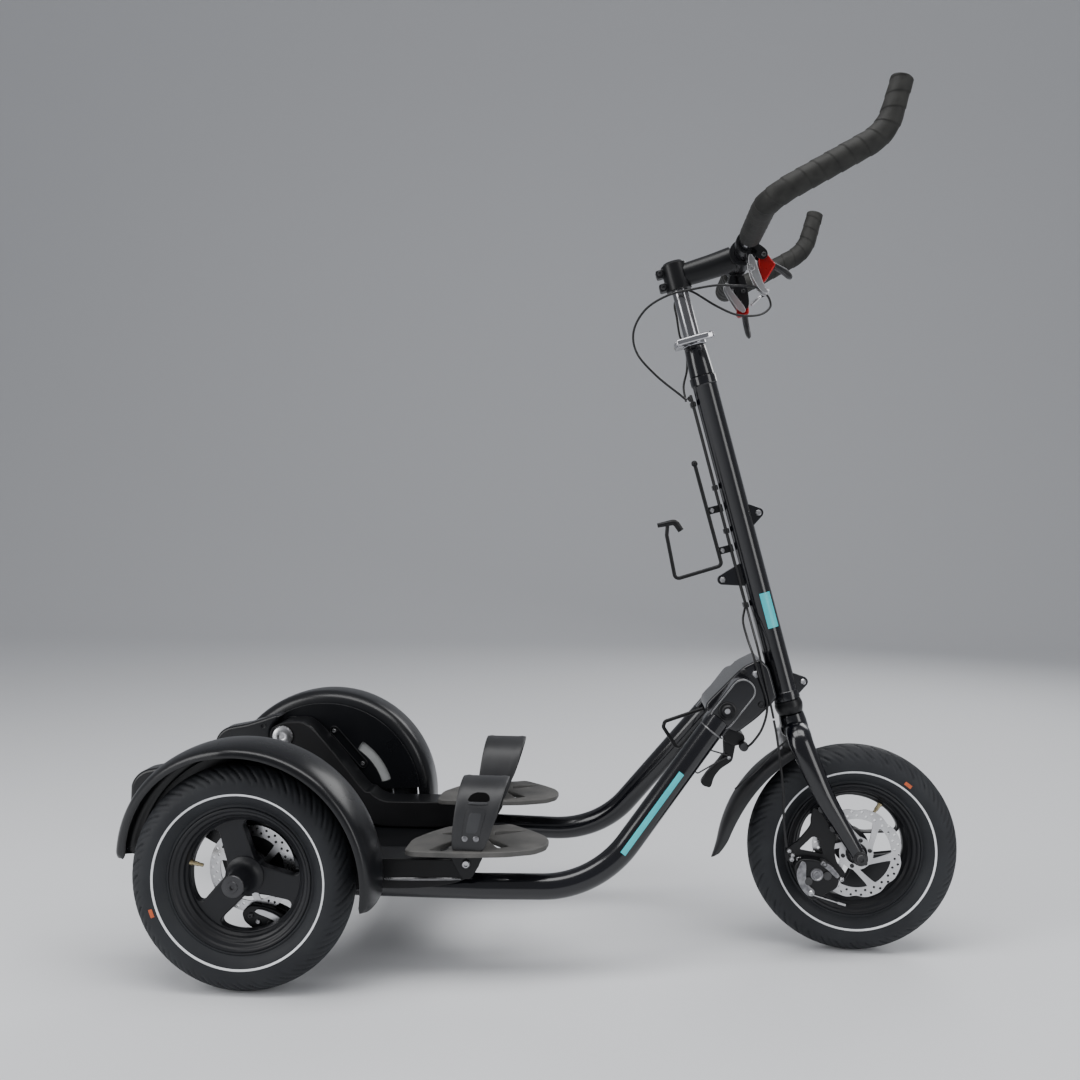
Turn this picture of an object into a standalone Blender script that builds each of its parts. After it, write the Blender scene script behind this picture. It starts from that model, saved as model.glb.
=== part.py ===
"""Three-wheeled stepper scooter: folding frame, two hinged pedal arms, telescopic steering column.

Metres, +Z up, +X forward. Lengths inside a wheel, an arm or the column are measured in that
group's own frame, and an empty carries the group to its place on the scooter.
Right is the -Y side and left is the +Y side.
"""
import math

import bmesh
import bpy
from mathutils import Matrix, Vector

GAP = 0.0004

# Wheels: 12 1/2 inch tyres
TYRE_RADIUS = 0.160
TYRE_HALF_WIDTH = 0.0285
BEAD_RADIUS = 0.1022
WHEELBASE = 0.889
HALF_TRACK = 0.2208
REAR_AXLE_X = -0.4274
SPOKES = 3
REAR_SPOKE_ANGLE = 107.0
FRONT_SPOKE_ANGLE = 5.0
REAR_ROTOR_RADIUS = 0.063
FRONT_ROTOR_RADIUS = 0.0685
ROTOR_THICKNESS = 0.0018
AXLE_RADIUS = 0.006

# Steering column
HEAD_ANGLE = 15.1
STEER_FOOT_X = 0.850
HEAD_TUBE_RADIUS = 0.0190
STEERER_RADIUS = 0.0155
POST_RADIUS = 0.0124
HEAD_TUBE_BOTTOM = 0.236
HEAD_TUBE_TOP = 0.752
CLAMP_HEIGHT = 0.8155
STEM_HEIGHT = 0.921
BAR_REACH = 0.1055
BAR_RADIUS = 0.0127
BAR_HALF_WIDTH = 0.272
TAPE_RADIUS = 0.0155
TAPE_START = 0.110
LEVER_REACH = 0.0360
LEVER_LIFT = 0.0020
RIGHT_STRETCH = 0.840
LEFT_STRETCH = 1.170

# Folding joint
FOLD_X = 0.6880
FOLD_Z = 0.3800
EAR_INNER = 0.0455
EAR_THICKNESS = 0.030
EAR_ANGLE = 52.5
FOLD_BOLT_RADIUS = 0.0083

# Frame tubes
FRAME_TUBE_RADIUS = 0.0185
FRAME_TUBE_HEIGHT = 0.1315
FRAME_TUBE_HALF_SPREAD = 0.150

# Pedal arms and pedals
ARM_PIVOT = (-0.0596, 0.2855)
ARM_INNER = 0.120
ARM_OUTER = 0.1755
ARM_WALL = 0.0045
PEDAL_PIVOT = (0.309, 0.1733)
PEDAL_TOP = 0.197
PEDAL_THICKNESS = 0.008

# Fenders
FENDER_INNER = 0.184
FENDER_OUTER = 0.271
FENDER_WALL = 0.0028

SIDES = (("right", -1), ("left", 1))


def clear_scene():
    for obj in list(bpy.data.objects):
        bpy.data.objects.remove(obj, do_unlink=True)


def material(name, colour, roughness, metallic=0.0):
    """A plain Principled finish, made once and shared by name."""
    found = bpy.data.materials.get(name)
    if found:
        return found
    made = bpy.data.materials.new(name)
    made.use_nodes = True
    shader = made.node_tree.nodes["Principled BSDF"]
    shader.inputs["Base Color"].default_value = (*colour, 1.0)
    shader.inputs["Roughness"].default_value = roughness
    shader.inputs["Metallic"].default_value = metallic
    return made


def gloss_black():
    return material("gloss_black", (0.012, 0.013, 0.018), 0.18)


def satin_black():
    return material("satin_black", (0.022, 0.022, 0.024), 0.45)


def moulded_charcoal():
    return material("moulded_charcoal", (0.045, 0.047, 0.052), 0.55)


def tyre_rubber():
    return material("tyre_rubber", (0.035, 0.036, 0.040), 0.85)


def bare_steel():
    return material("bare_steel", (0.62, 0.62, 0.63), 0.30, 1.0)


def bar_tape():
    return material("bar_tape", (0.055, 0.055, 0.053), 0.80)


def strap_rubber():
    return material("strap_rubber", (0.060, 0.060, 0.064), 0.65)


def grip_surface():
    return material("grip_surface", (0.085, 0.086, 0.090), 0.75)


def signal_red():
    return material("signal_red", (0.55, 0.02, 0.02), 0.35, 0.6)


def empty(name, parent, location=(0, 0, 0), tilt=0.0):
    """A carrier for a group; tilt turns it about Y, in degrees."""
    carrier = bpy.data.objects.new(name, None)
    bpy.context.collection.objects.link(carrier)
    carrier.parent = parent
    carrier.location = location
    carrier.rotation_euler = (0, math.radians(tilt), 0)
    return carrier


def place(name, bm, finish, parent, location=(0, 0, 0), tilt=0.0, smooth=35):
    """Turn a bmesh into a named object with its finish, shaded smooth below the given angle."""
    bmesh.ops.remove_doubles(bm, verts=bm.verts, dist=0.00001)
    bmesh.ops.recalc_face_normals(bm, faces=bm.faces)
    mesh = bpy.data.meshes.new(name)
    bm.to_mesh(mesh)
    bm.free()
    mesh.shade_smooth()
    mesh.set_sharp_from_angle(angle=math.radians(smooth))
    obj = bpy.data.objects.new(name, mesh)
    bpy.context.collection.objects.link(obj)
    obj.parent = parent
    obj.location = location
    obj.rotation_euler = (0, math.radians(tilt), 0)
    mesh.materials.append(finish)
    return obj


def helper(obj):
    """Mark an object as a cutter or a piece to be joined, not a part of its own."""
    obj.hide_render = True
    obj.display_type = "WIRE"
    return obj


def combine(obj, other, operation):
    modifier = obj.modifiers.new(operation.lower(), "BOOLEAN")
    modifier.operation = operation
    modifier.solver = "EXACT"
    modifier.object = helper(other)
    return obj


def cut(obj, other):
    return combine(obj, other, "DIFFERENCE")


def join(obj, other):
    return combine(obj, other, "UNION")


def bevel(obj, width, segments=2, angle=40):
    modifier = obj.modifiers.new("rounded_edges", "BEVEL")
    modifier.width = width
    modifier.segments = segments
    modifier.limit_method = "ANGLE"
    modifier.angle_limit = math.radians(angle)
    return obj


def polar(radius, degrees, centre=(0.0, 0.0)):
    angle = math.radians(degrees)
    return (centre[0] + radius * math.cos(angle), centre[1] + radius * math.sin(angle))


def arc(centre, radius, start, end, steps):
    """Points on an arc in the side view, from start to end in degrees."""
    return [polar(radius, start + (end - start) * i / steps, centre) for i in range(steps + 1)]


def lathe(profile, segments, axis="Y", closed=True):
    """Spin a (radius, offset) profile about an axis into a closed ring or, between poles, a solid."""
    bm = bmesh.new()
    verts = [bm.verts.new((radius, 0, offset)) for radius, offset in profile]
    edges = [bm.edges.new(pair) for pair in zip(verts, verts[1:])]
    if closed:
        edges.append(bm.edges.new((verts[-1], verts[0])))
    bmesh.ops.spin(bm, geom=verts + edges, cent=(0, 0, 0), axis=(0, 0, 1),
                   angle=math.tau, steps=segments, use_merge=True)
    if axis == "Y":
        turn = Matrix(((1, 0, 0), (0, 0, 1), (0, 1, 0)))
        bmesh.ops.transform(bm, matrix=turn.to_4x4(), verts=bm.verts)
    return bm


def solid_pin(radius, start, end, segments=16, axis="Y"):
    """A plain round pin between two offsets on its axis."""
    return lathe([(0, start), (radius, start), (radius, end), (0, end)], segments, axis, closed=False)


def prism(outline, low, high):
    """A side-view outline of (x, z) points, carried across from y = low to y = high."""
    bm = bmesh.new()
    face = bm.faces.new([bm.verts.new((x, low, z)) for x, z in outline])
    grown = bmesh.ops.extrude_face_region(bm, geom=[face])
    verts = [item for item in grown["geom"] if isinstance(item, bmesh.types.BMVert)]
    bmesh.ops.translate(bm, verts=verts, vec=(0, high - low, 0))
    return bm


def box(low, high):
    return prism([(low[0], low[2]), (high[0], low[2]), (high[0], high[2]), (low[0], high[2])], low[1], high[1])


def slab(outline, low, high):
    """A top-view outline of (x, y) points, carried up from z = low to z = high."""
    bm = bmesh.new()
    face = bm.faces.new([bm.verts.new((x, y, low)) for x, y in outline])
    grown = bmesh.ops.extrude_face_region(bm, geom=[face])
    verts = [item for item in grown["geom"] if isinstance(item, bmesh.types.BMVert)]
    bmesh.ops.translate(bm, verts=verts, vec=(0, 0, high - low))
    return bm


def racetrack(start, end, radius, steps=6):
    """A round-ended slot outline between two centres in the side view."""
    heading = math.degrees(math.atan2(end[1] - start[1], end[0] - start[0]))
    return (arc(start, radius, heading + 90, heading + 270, steps)
            + arc(end, radius, heading - 90, heading + 90, steps))


def filleted(points, radii, steps=6):
    """Round each inner corner of a 3-D polyline with an arc; one radius for all or one for each."""
    points = [Vector(p) for p in points]
    if not isinstance(radii, (list, tuple)):
        radii = [radii] * (len(points) - 2)
    route = [points[0]]
    for before, corner, after, radius in zip(points, points[1:], points[2:], radii):
        into = (before - corner).normalized()
        out = (after - corner).normalized()
        half = into.angle(out) / 2
        reach = min(radius / math.tan(half), 0.48 * (before - corner).length, 0.48 * (after - corner).length)
        centre = corner + (into + out).normalized() * (reach / math.cos(half))
        first = corner + into * reach - centre
        last = corner + out * reach - centre
        sweep = first.angle(last)
        for i in range(steps + 1):
            share = i / steps
            blend = (first * math.sin((1 - share) * sweep) + last * math.sin(share * sweep)) / math.sin(sweep)
            route.append(centre + blend)
    route.append(points[-1])
    return route


def smooth_route(points, per_span=6):
    """A smooth curve through hand-chosen points, as a list of closer points (Catmull-Rom)."""
    points = [Vector(p) for p in points]
    ends = [2 * points[0] - points[1]] + points + [2 * points[-1] - points[-2]]
    route = []
    for a, b, c, d in zip(ends, ends[1:], ends[2:], ends[3:]):
        for i in range(per_span):
            t = i / per_span
            route.append(0.5 * (2 * b + (c - a) * t + (2 * a - 5 * b + 4 * c - d) * t * t
                                + (3 * b - 3 * c + d - a) * t * t * t))
    route.append(points[-1])
    return route


def swept(route, radii, sides=12, flatten=1.0):
    """Carry a circle along a route; radii is one value or one for each point."""
    route = [Vector(p) for p in route]
    if not isinstance(radii, (list, tuple)):
        radii = [radii] * len(route)
    bm = bmesh.new()
    side_axis = None
    rings = []
    for i, point in enumerate(route):
        ahead = (route[min(i + 1, len(route) - 1)] - route[max(i - 1, 0)]).normalized()
        if side_axis is None:
            side_axis = ahead.cross(Vector((0, 1, 0)))
            if side_axis.length < 0.1:
                side_axis = ahead.cross(Vector((0, 0, 1)))
        side_axis = (side_axis - ahead * side_axis.dot(ahead)).normalized()
        up_axis = ahead.cross(side_axis)
        rings.append([bm.verts.new(point + radii[i] * (side_axis * math.cos(math.tau * k / sides)
                                                       + up_axis * flatten * math.sin(math.tau * k / sides)))
                      for k in range(sides)])
    for ring, after in zip(rings, rings[1:]):
        for k in range(sides):
            bm.faces.new((ring[k], ring[(k + 1) % sides], after[(k + 1) % sides], after[k]))
    bm.faces.new(rings[0])
    bm.faces.new(rings[-1])
    return bm


def cord(name, route, diameter, finish, parent):
    """A cable as a bevelled curve with filled caps on a straight-segment spline."""
    curve = bpy.data.curves.new(name, "CURVE")
    curve.dimensions = "3D"
    curve.bevel_depth = diameter / 2
    curve.bevel_resolution = 1
    curve.use_fill_caps = True
    spline = curve.splines.new("POLY")
    spline.points.add(len(route) - 1)
    for slot, point in zip(spline.points, route):
        slot.co = (*point, 1.0)
    obj = bpy.data.objects.new(name, curve)
    bpy.context.collection.objects.link(obj)
    obj.parent = parent
    curve.materials.append(finish)
    return obj


def mirrored(points, side):
    """Turn points written for the left side to the asked side."""
    return [(x, side * y, z) for x, y, z in points]


def tyre(name, parent):
    """A road tyre: round tread, bulging sidewalls and two beads that sit on the rim."""
    half = [(BEAD_RADIUS, 0.0172), (0.1110, 0.0255), (0.1300, TYRE_HALF_WIDTH), (0.1440, 0.0260),
            (0.1545, 0.0170)]
    profile = half + [(TYRE_RADIUS, 0)] + [(r, -y) for r, y in reversed(half)]
    return place(name, lathe(profile, 36), tyre_rubber(), parent)


def spoke_windows(angle, low, high):
    """Cutters for the openings between the spokes, broad at the rim and pointed at the hub."""
    half = [(0, 0.0785), (20, 0.0785), (36, 0.0785), (42, 0.0735), (41, 0.0630), (36, 0.0480), (23, 0.0330)]
    bm = bmesh.new()
    for k in range(SPOKES):
        middle = angle + (k + 0.5) * 360 / SPOKES
        outline = [polar(r, middle - a) for a, r in half[:0:-1]]
        outline += [polar(r, middle + a) for a, r in half]
        outline += [polar(0.0265, middle)]
        piece = prism(outline, low, high)
        shape = bpy.data.meshes.new("window")
        piece.to_mesh(shape)
        piece.free()
        bm.from_mesh(shape)
        bpy.data.meshes.remove(shape)
    return bm


def moulded_wheel(name, parent, spoke_angle, outboard, nose, tail):
    """A three-spoke moulded wheel: stepped rim, dished web, hub with a nose on the outboard side."""
    profile = [(AXLE_RADIUS + GAP, nose), (0.0150, nose), (0.0165, 0.006), (0.0235, -0.001), (0.0800, -0.003),
               (0.0850, 0.0080), (0.0925, 0.0185), (0.1015, 0.0185), (0.1015, -0.0185),
               (0.0260, -0.0180), (0.0225, tail), (AXLE_RADIUS + GAP, tail)]
    profile = [(r, y * outboard) for r, y in profile]
    wheel = place(name, lathe(profile, 24), moulded_charcoal(), parent)
    cutter = place(name + "_windows", spoke_windows(spoke_angle, -0.03, 0.03), moulded_charcoal(), parent)
    return cut(wheel, cutter)


def rotor(name, parent, radius, offset, arms, sweep):
    """A brake disc: a ring on thin slanted arms."""
    disc = place(name, lathe([(AXLE_RADIUS + GAP, offset), (radius, offset), (radius, offset + ROTOR_THICKNESS),
                              (AXLE_RADIUS + GAP, offset + ROTOR_THICKNESS)], 24), bare_steel(), parent)
    bm = bmesh.new()
    for k in range(arms):
        middle = k * 360 / arms
        spread = 360 / arms / 2 - 8
        outline = [polar(radius - 0.0155, middle + sweep + spread), polar(radius - 0.0155, middle + sweep),
                   polar(radius - 0.0155, middle + sweep - spread), polar(0.0225, middle - spread * 0.8),
                   polar(0.0225, middle + spread * 0.8)]
        piece = prism(outline, offset - 0.01, offset + 0.01)
        shape = bpy.data.meshes.new("window")
        piece.to_mesh(shape)
        piece.free()
        bm.from_mesh(shape)
        bpy.data.meshes.remove(shape)
    return cut(disc, place(name + "_windows", bm, bare_steel(), parent))


def rear_wheels(scooter):
    for name, side in SIDES:
        hub = empty("rear_hub_" + name, scooter, (0, side * HALF_TRACK, TYRE_RADIUS))
        tyre("rear_tyre_" + name, hub)
        moulded_wheel("rear_wheel_" + name, hub, REAR_SPOKE_ANGLE, side, 0.0410, -0.0314)
        offset = -0.0318 - ROTOR_THICKNESS if side > 0 else 0.0318
        rotor("rear_rotor_" + name, hub, REAR_ROTOR_RADIUS, offset, 6, 8 * side)


def front_wheel(steering, hub_location):
    hub = empty("front_hub", steering, hub_location, HEAD_ANGLE)
    tyre("front_tyre", hub)
    moulded_wheel("front_wheel", hub, FRONT_SPOKE_ANGLE, -1, 0.0345, -0.0345)
    rotor("front_rotor", hub, FRONT_ROTOR_RADIUS, -0.0349 - ROTOR_THICKNESS, 6, 26)


def axle(name, parent, location, start, end, cap_side, cap_radius=0.016):
    """A wheel spindle with a round end cap."""
    low, high = min(start, end), max(start, end)
    if cap_side > 0:
        profile = [(0, low), (AXLE_RADIUS, low), (AXLE_RADIUS, high), (cap_radius, high),
                   (cap_radius, high + 0.004), (0, high + 0.0045)]
    else:
        profile = [(0, low - 0.0045), (cap_radius, low - 0.004), (cap_radius, low), (AXLE_RADIUS, low),
                   (AXLE_RADIUS, high), (0, high)]
    return place(name, lathe(profile, 20, closed=False), bare_steel(), parent, location)


def ear_point(along, across=0.0):
    """A point on the folding joint's ears, measured from the fold bolt along their slope."""
    c, s = math.cos(math.radians(EAR_ANGLE)), math.sin(math.radians(EAR_ANGLE))
    return (FOLD_X + along * c - across * s, FOLD_Z + along * s + across * c)


def frame_rails(scooter):
    """Two bent tubes that run low along the scooter, then rise and close in to a forged ear each."""
    for name, side in SIDES:
        route = filleted(mirrored([(0.0120, FRAME_TUBE_HALF_SPREAD, FRAME_TUBE_HEIGHT),
                                   (0.3300, FRAME_TUBE_HALF_SPREAD, FRAME_TUBE_HEIGHT),
                                   (0.4940, 0.1390, FRAME_TUBE_HEIGHT),
                                   (0.6750, 0.0642, 0.3650)], side), 0.19, 6)
        rail = place("frame_rail_" + name, swept(route, FRAME_TUBE_RADIUS, 14), gloss_black(), scooter)
        low = EAR_INNER if side > 0 else -EAR_INNER - EAR_THICKNESS
        high = low + EAR_THICKNESS
        outline = (arc(ear_point(0.038), 0.0195, EAR_ANGLE - 90, EAR_ANGLE + 90, 8)
                   + [ear_point(-0.0290, 0.0195), ear_point(-0.0345, 0.0150),
                      ear_point(-0.0345, -0.0150), ear_point(-0.0290, -0.0195)])
        ear = place("hinge_ear_" + name, prism(outline, low, high), gloss_black(), scooter)
        bevel(ear, 0.003, 1)
        join(rail, ear)
        face = high if side > 0 else low
        recess = prism(racetrack(ear_point(0.0090), ear_point(0.038), 0.0160, 8),
                       face - 0.0015 * side, face + 0.01 * side)
        cut(rail, place("ear_recess_" + name, recess, gloss_black(), scooter))
        bore = solid_pin(FOLD_BOLT_RADIUS + GAP, -0.1, 0.1, 16)
        cut(rail, place("ear_bore_" + name, bore, gloss_black(), scooter, (FOLD_X, 0, FOLD_Z)))


def fold_bolt(scooter):
    """The big bolt that the column folds on, with a domed head on each side."""
    face = EAR_INNER + EAR_THICKNESS + GAP
    end = [(FOLD_BOLT_RADIUS, face), (0.0125, face), (0.0125, face + 0.0035), (0.0090, face + 0.0065), (0, face + 0.0070)]
    profile = [(r, -y) for r, y in reversed(end)] + end
    place("fold_bolt", lathe(profile, 20, closed=False), bare_steel(), scooter, (FOLD_X, 0, FOLD_Z))


def rear_structure(scooter):
    """Axle beam with a side plate welded to each end, the cross brace between the rails, and two spindles."""
    beam = place("rear_axle_beam", solid_pin(0.027, -0.1780, 0.1780, 20), satin_black(), scooter, (0, 0, TYRE_RADIUS))
    for name, side in SIDES:
        low, high = (0.1765, 0.1815) if side > 0 else (-0.1815, -0.1765)
        outline = [(x, z - TYRE_RADIUS) for x, z in arc(ARM_PIVOT, 0.024, 20, 190, 6)
                   + arc((-0.010, 0.146), 0.030, 200, 300, 4) + arc((0.040, 0.140), 0.026, -70, 60, 4)]
        plate = place("side_plate_" + name, prism(outline, low, high), satin_black(), scooter, (0, 0, TYRE_RADIUS))
        join(beam, plate)
        socket = solid_pin(FRAME_TUBE_RADIUS + GAP, 0, 0.1, 16, "Z")
        bmesh.ops.transform(socket, matrix=Matrix.Rotation(math.radians(90), 4, "Y"), verts=socket.verts)
        cut(beam, place("beam_socket_" + name, socket, satin_black(), scooter,
                        (0.0120 - GAP, side * FRAME_TUBE_HALF_SPREAD, FRAME_TUBE_HEIGHT)))
        axle("rear_axle_" + name, scooter, (0, 0, TYRE_RADIUS), 0.1819 * side, (HALF_TRACK + 0.0414) * side, side)
    half = FRAME_TUBE_HALF_SPREAD - FRAME_TUBE_RADIUS - GAP
    brace = place("cross_brace", box((0.085, -half, 0.1090), (0.250, half, 0.1290)), satin_black(), scooter)
    bevel(brace, 0.004, 2)


def fender_section(degrees, side):
    """The fender's closed cross-section at one angle, as (y, radius) pairs: outside face, then inside face."""
    tail = max(0.0, (degrees - 95.0) / 80.0)
    lip = FENDER_OUTER - 0.056 * min(tail, 1.0) ** 1.2
    span = lip - 0.200
    outside = [(lip, 0.1775), (lip - 0.001, 0.1865), (lip - 0.012 * span / 0.071, 0.1915),
               (0.200 + span * 0.5, 0.1950), (0.2030, 0.1950), (0.1940, 0.1915), (0.1865, 0.1840), (FENDER_INNER, 0.1700)]
    inside = [(FENDER_INNER + FENDER_WALL, 0.1700), (0.1865 + FENDER_WALL * 0.8, 0.1835 - FENDER_WALL * 0.4),
              (0.1950, 0.1890), (0.2035, 0.1922), (0.200 + span * 0.5, 0.1922),
              (lip - 0.014 * span / 0.071, 0.1888), (lip - 0.0035, 0.1845), (lip - 0.0030, 0.1775)]
    return [(y * side, radius) for y, radius in outside + inside]


def fenders(scooter):
    """Rear fenders: a crowned shell over each wheel that narrows to its tail, and a flat inner panel."""
    steps = 17
    for name, side in SIDES:
        bm = bmesh.new()
        rings = []
        for i in range(steps + 1):
            degrees = -9 + 184 * i / steps
            ring = []
            for y, radius in fender_section(degrees, side):
                x, z = polar(radius, degrees)
                ring.append(bm.verts.new((x, y, z)))
            rings.append(ring)
        count = len(rings[0])
        for ring, after in zip(rings, rings[1:]):
            for k in range(count):
                bm.faces.new((ring[k], ring[(k + 1) % count], after[(k + 1) % count], after[k]))
        bm.faces.new(rings[0])
        bm.faces.new(rings[-1])
        shell = place("fender_" + name, bm, satin_black(), scooter, (0, 0, TYRE_RADIUS))
        low, high = (0.1823, 0.1852) if side > 0 else (-0.1852, -0.1823)
        outline = arc((0, 0), 0.1735, 8, 150, 18) + arc((0, 0), 0.0500, 150, 22, 8)
        panel = place("fender_panel_" + name, prism(outline, low, high), satin_black(), scooter, (0, 0, TYRE_RADIUS))
        join(shell, panel)
        slot = arc((0, 0), 0.1250, 18, 58, 7) + arc((0, 0), 0.1080, 58, 18, 7)
        cut(shell, place("panel_slot_" + name, prism(slot, low - 0.01, high + 0.01), satin_black(), scooter,
                         (0, 0, TYRE_RADIUS)))
        hole = solid_pin(AXLE_RADIUS + 0.012, -0.3, 0.3, 16)
        cut(shell, place("fender_hole_" + name, hole, satin_black(), scooter, (0, 0, TYRE_RADIUS)))


def pivot_covers(scooter):
    """Round-cornered cover behind each arm's pivot, hollowed round the arm's root."""
    for name, side in SIDES:
        low, high = (0.1375, 0.1760) if side > 0 else (-0.1760, -0.1375)
        outline = ([(-0.1900, 0.2200), (-0.1895, 0.2480)] + arc((-0.1560, 0.2620), 0.034, 160, 100, 4)
                   + [(-0.1300, 0.3020), (-0.1000, 0.3120), (-0.0800, 0.3190), (-0.0700, 0.3170)]
                   + arc(ARM_PIVOT, 0.0275, 125, 235, 8) + [(-0.0800, 0.2200)])
        cover = place("pivot_cover_" + name, prism(outline, low, high), satin_black(), scooter)
        bevel(cover, 0.005, 2, 50)


def pedal_arm(name, side, scooter):
    """A folded beam from the high rear pivot down and forward, open below over the frame tube."""
    arm = empty("arm_pivot_" + name, scooter, (ARM_PIVOT[0], 0, ARM_PIVOT[1]))
    low, high = (ARM_INNER, ARM_OUTER) if side > 0 else (-ARM_OUTER, -ARM_INNER)
    outline = ([(-0.0600, 0.3090), (-0.0180, 0.3110), (0.0400, 0.2470), (0.0850, 0.1910)]
               + arc((0.1310, 0.2230), 0.0480, 222, 268, 4)
               + [(0.3190, 0.1780), (0.3270, 0.1700), (0.3220, 0.1600), (0.3060, 0.1480), (0.2850, 0.1410),
                  (0.2360, 0.1335), (0.1600, 0.1315), (0.1180, 0.1315), (0.0900, 0.1385), (0.0690, 0.1580),
                  (0.0120, 0.2270), (-0.0250, 0.2690)]
               + arc(ARM_PIVOT, 0.0240, 290, 140, 8))
    outline = [(x - ARM_PIVOT[0], z - ARM_PIVOT[1]) for x, z in outline]
    beam = place("pedal_arm_" + name, prism(outline, low, high), satin_black(), arm)
    bevel(beam, 0.005, 1, 20)
    room_low, room_high = (ARM_INNER + ARM_WALL, ARM_OUTER - ARM_WALL)
    if side < 0:
        room_low, room_high = -room_high, -room_low
    channel = [(0.0720, 0.1000), (0.3400, 0.1000), (0.3400, 0.1500), (0.3250, 0.1620), (0.3000, 0.1700),
               (0.1300, 0.1690), (0.1050, 0.1760), (0.0860, 0.1800), (0.0720, 0.1650)]
    channel = [(x - ARM_PIVOT[0], z - ARM_PIVOT[1]) for x, z in channel]
    cut(beam, place("arm_channel_" + name, prism(channel, room_low, room_high), satin_black(), arm))
    cut(beam, place("arm_bore_" + name, solid_pin(0.0090 + GAP, -0.3, 0.3, 16), satin_black(), arm))
    bolt_bore = solid_pin(0.0040 + GAP, -0.3, 0.3, 12)
    bolt_place = (PEDAL_PIVOT[0] - ARM_PIVOT[0], 0, PEDAL_PIVOT[1] - ARM_PIVOT[1])
    cut(beam, place("arm_bolt_bore_" + name, bolt_bore, satin_black(), arm, bolt_place))
    head = 0.1196 - 0.0055
    profile = [(0, head), (0.0060, head), (0.0165, head + 0.0020), (0.0180, head + 0.0030), (0.0180, head + 0.0050),
               (0.0090, head + 0.0050), (0.0090, 0.1760), (0, 0.1760)]
    profile = [(r, y * side) for r, y in profile]
    place("arm_pivot_pin_" + name, lathe(profile, 20, closed=False), bare_steel(), scooter,
          (ARM_PIVOT[0], 0, ARM_PIVOT[1]))
    return arm


def pedal(name, side, arm):
    """A broad foot plate with slots, on a bracket that tilts on the arm's front end, under a foot strap."""
    seat = empty("pedal_pivot_" + name, arm, (PEDAL_PIVOT[0] - ARM_PIVOT[0], 0, PEDAL_PIVOT[1] - ARM_PIVOT[1]))
    px, pz = PEDAL_PIVOT
    outline = [(0.2190, 0.1900), (0.2270, 0.2010), (0.2840, 0.2030), (0.3430, 0.1960), (0.4020, 0.1850),
               (0.4170, 0.1700), (0.4200, 0.1500), (0.4130, 0.1150), (0.3900, 0.0760), (0.3640, 0.0520),
               (0.3300, 0.0500), (0.2740, 0.0650), (0.2380, 0.0900), (0.2200, 0.1250)]
    top = PEDAL_TOP - pz
    plate = place("pedal_" + name, slab([(x - px, y * side) for x, y in outline], top - PEDAL_THICKNESS, top),
                  grip_surface(), seat)
    bevel(plate, 0.002, 1)
    slots = [[(0.2560, 0.1930), (0.3020, 0.1760), (0.3020, 0.1640)],
             [(0.3520, 0.1680), (0.3520, 0.1560), (0.3830, 0.1880)],
             [(0.3140, 0.1440), (0.3400, 0.1440), (0.3270, 0.0780)],
             [(0.2560, 0.1560), (0.2980, 0.1400), (0.2980, 0.0860)]]
    for number, slot in enumerate(slots):
        cutter = slab([(x - px, y * side) for x, y in slot], top - 0.02, top + 0.01)
        cut(plate, place("pedal_slot_%s_%d" % (name, number), cutter, grip_surface(), seat))
    low = pz - 0.0220
    wide = PEDAL_TOP - PEDAL_THICKNESS - GAP
    outer = 0.1762
    bracket_outline = [(0.2830 - px, wide - pz), (0.3360 - px, wide - pz), (0.3190 - px, low - pz + 0.004),
                       (0.3140 - px, low - pz), (0.3060 - px, low - pz), (0.3010 - px, low - pz + 0.004)]
    low_y, high_y = (outer, outer + 0.0035) if side > 0 else (-outer - 0.0035, -outer)
    bracket = place("pedal_bracket_" + name, prism(bracket_outline, low_y, high_y), satin_black(), seat)
    inner = [0.1160, 0.1195]
    ear_low, ear_high = (inner[0], inner[1]) if side > 0 else (-inner[1], -inner[0])
    join(bracket, place("bracket_ear_" + name, prism(bracket_outline, ear_low, ear_high), satin_black(), seat))
    bridge_low = min(side * inner[0], side * (outer + 0.0035))
    bridge_high = max(side * inner[0], side * (outer + 0.0035))
    join(bracket, place("bracket_bridge_" + name,
                        box((0.2850 - px, bridge_low, wide - pz - 0.0040), (0.3340 - px, bridge_high, wide - pz)),
                        satin_black(), seat))
    profile = [(0, 0.1120), (0.0065, 0.1120), (0.0065, 0.1170), (0.0040, 0.1170), (0.0040, 0.1785),
               (0.0065, 0.1785), (0.0065, 0.1840), (0, 0.1840)]
    profile = [(r, y * side) for r, y in profile]
    join(bracket, place("bracket_pin_" + name, lathe(profile, 12, closed=False), satin_black(), seat))
    foot_strap(name, side, seat, top)
    return seat


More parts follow.
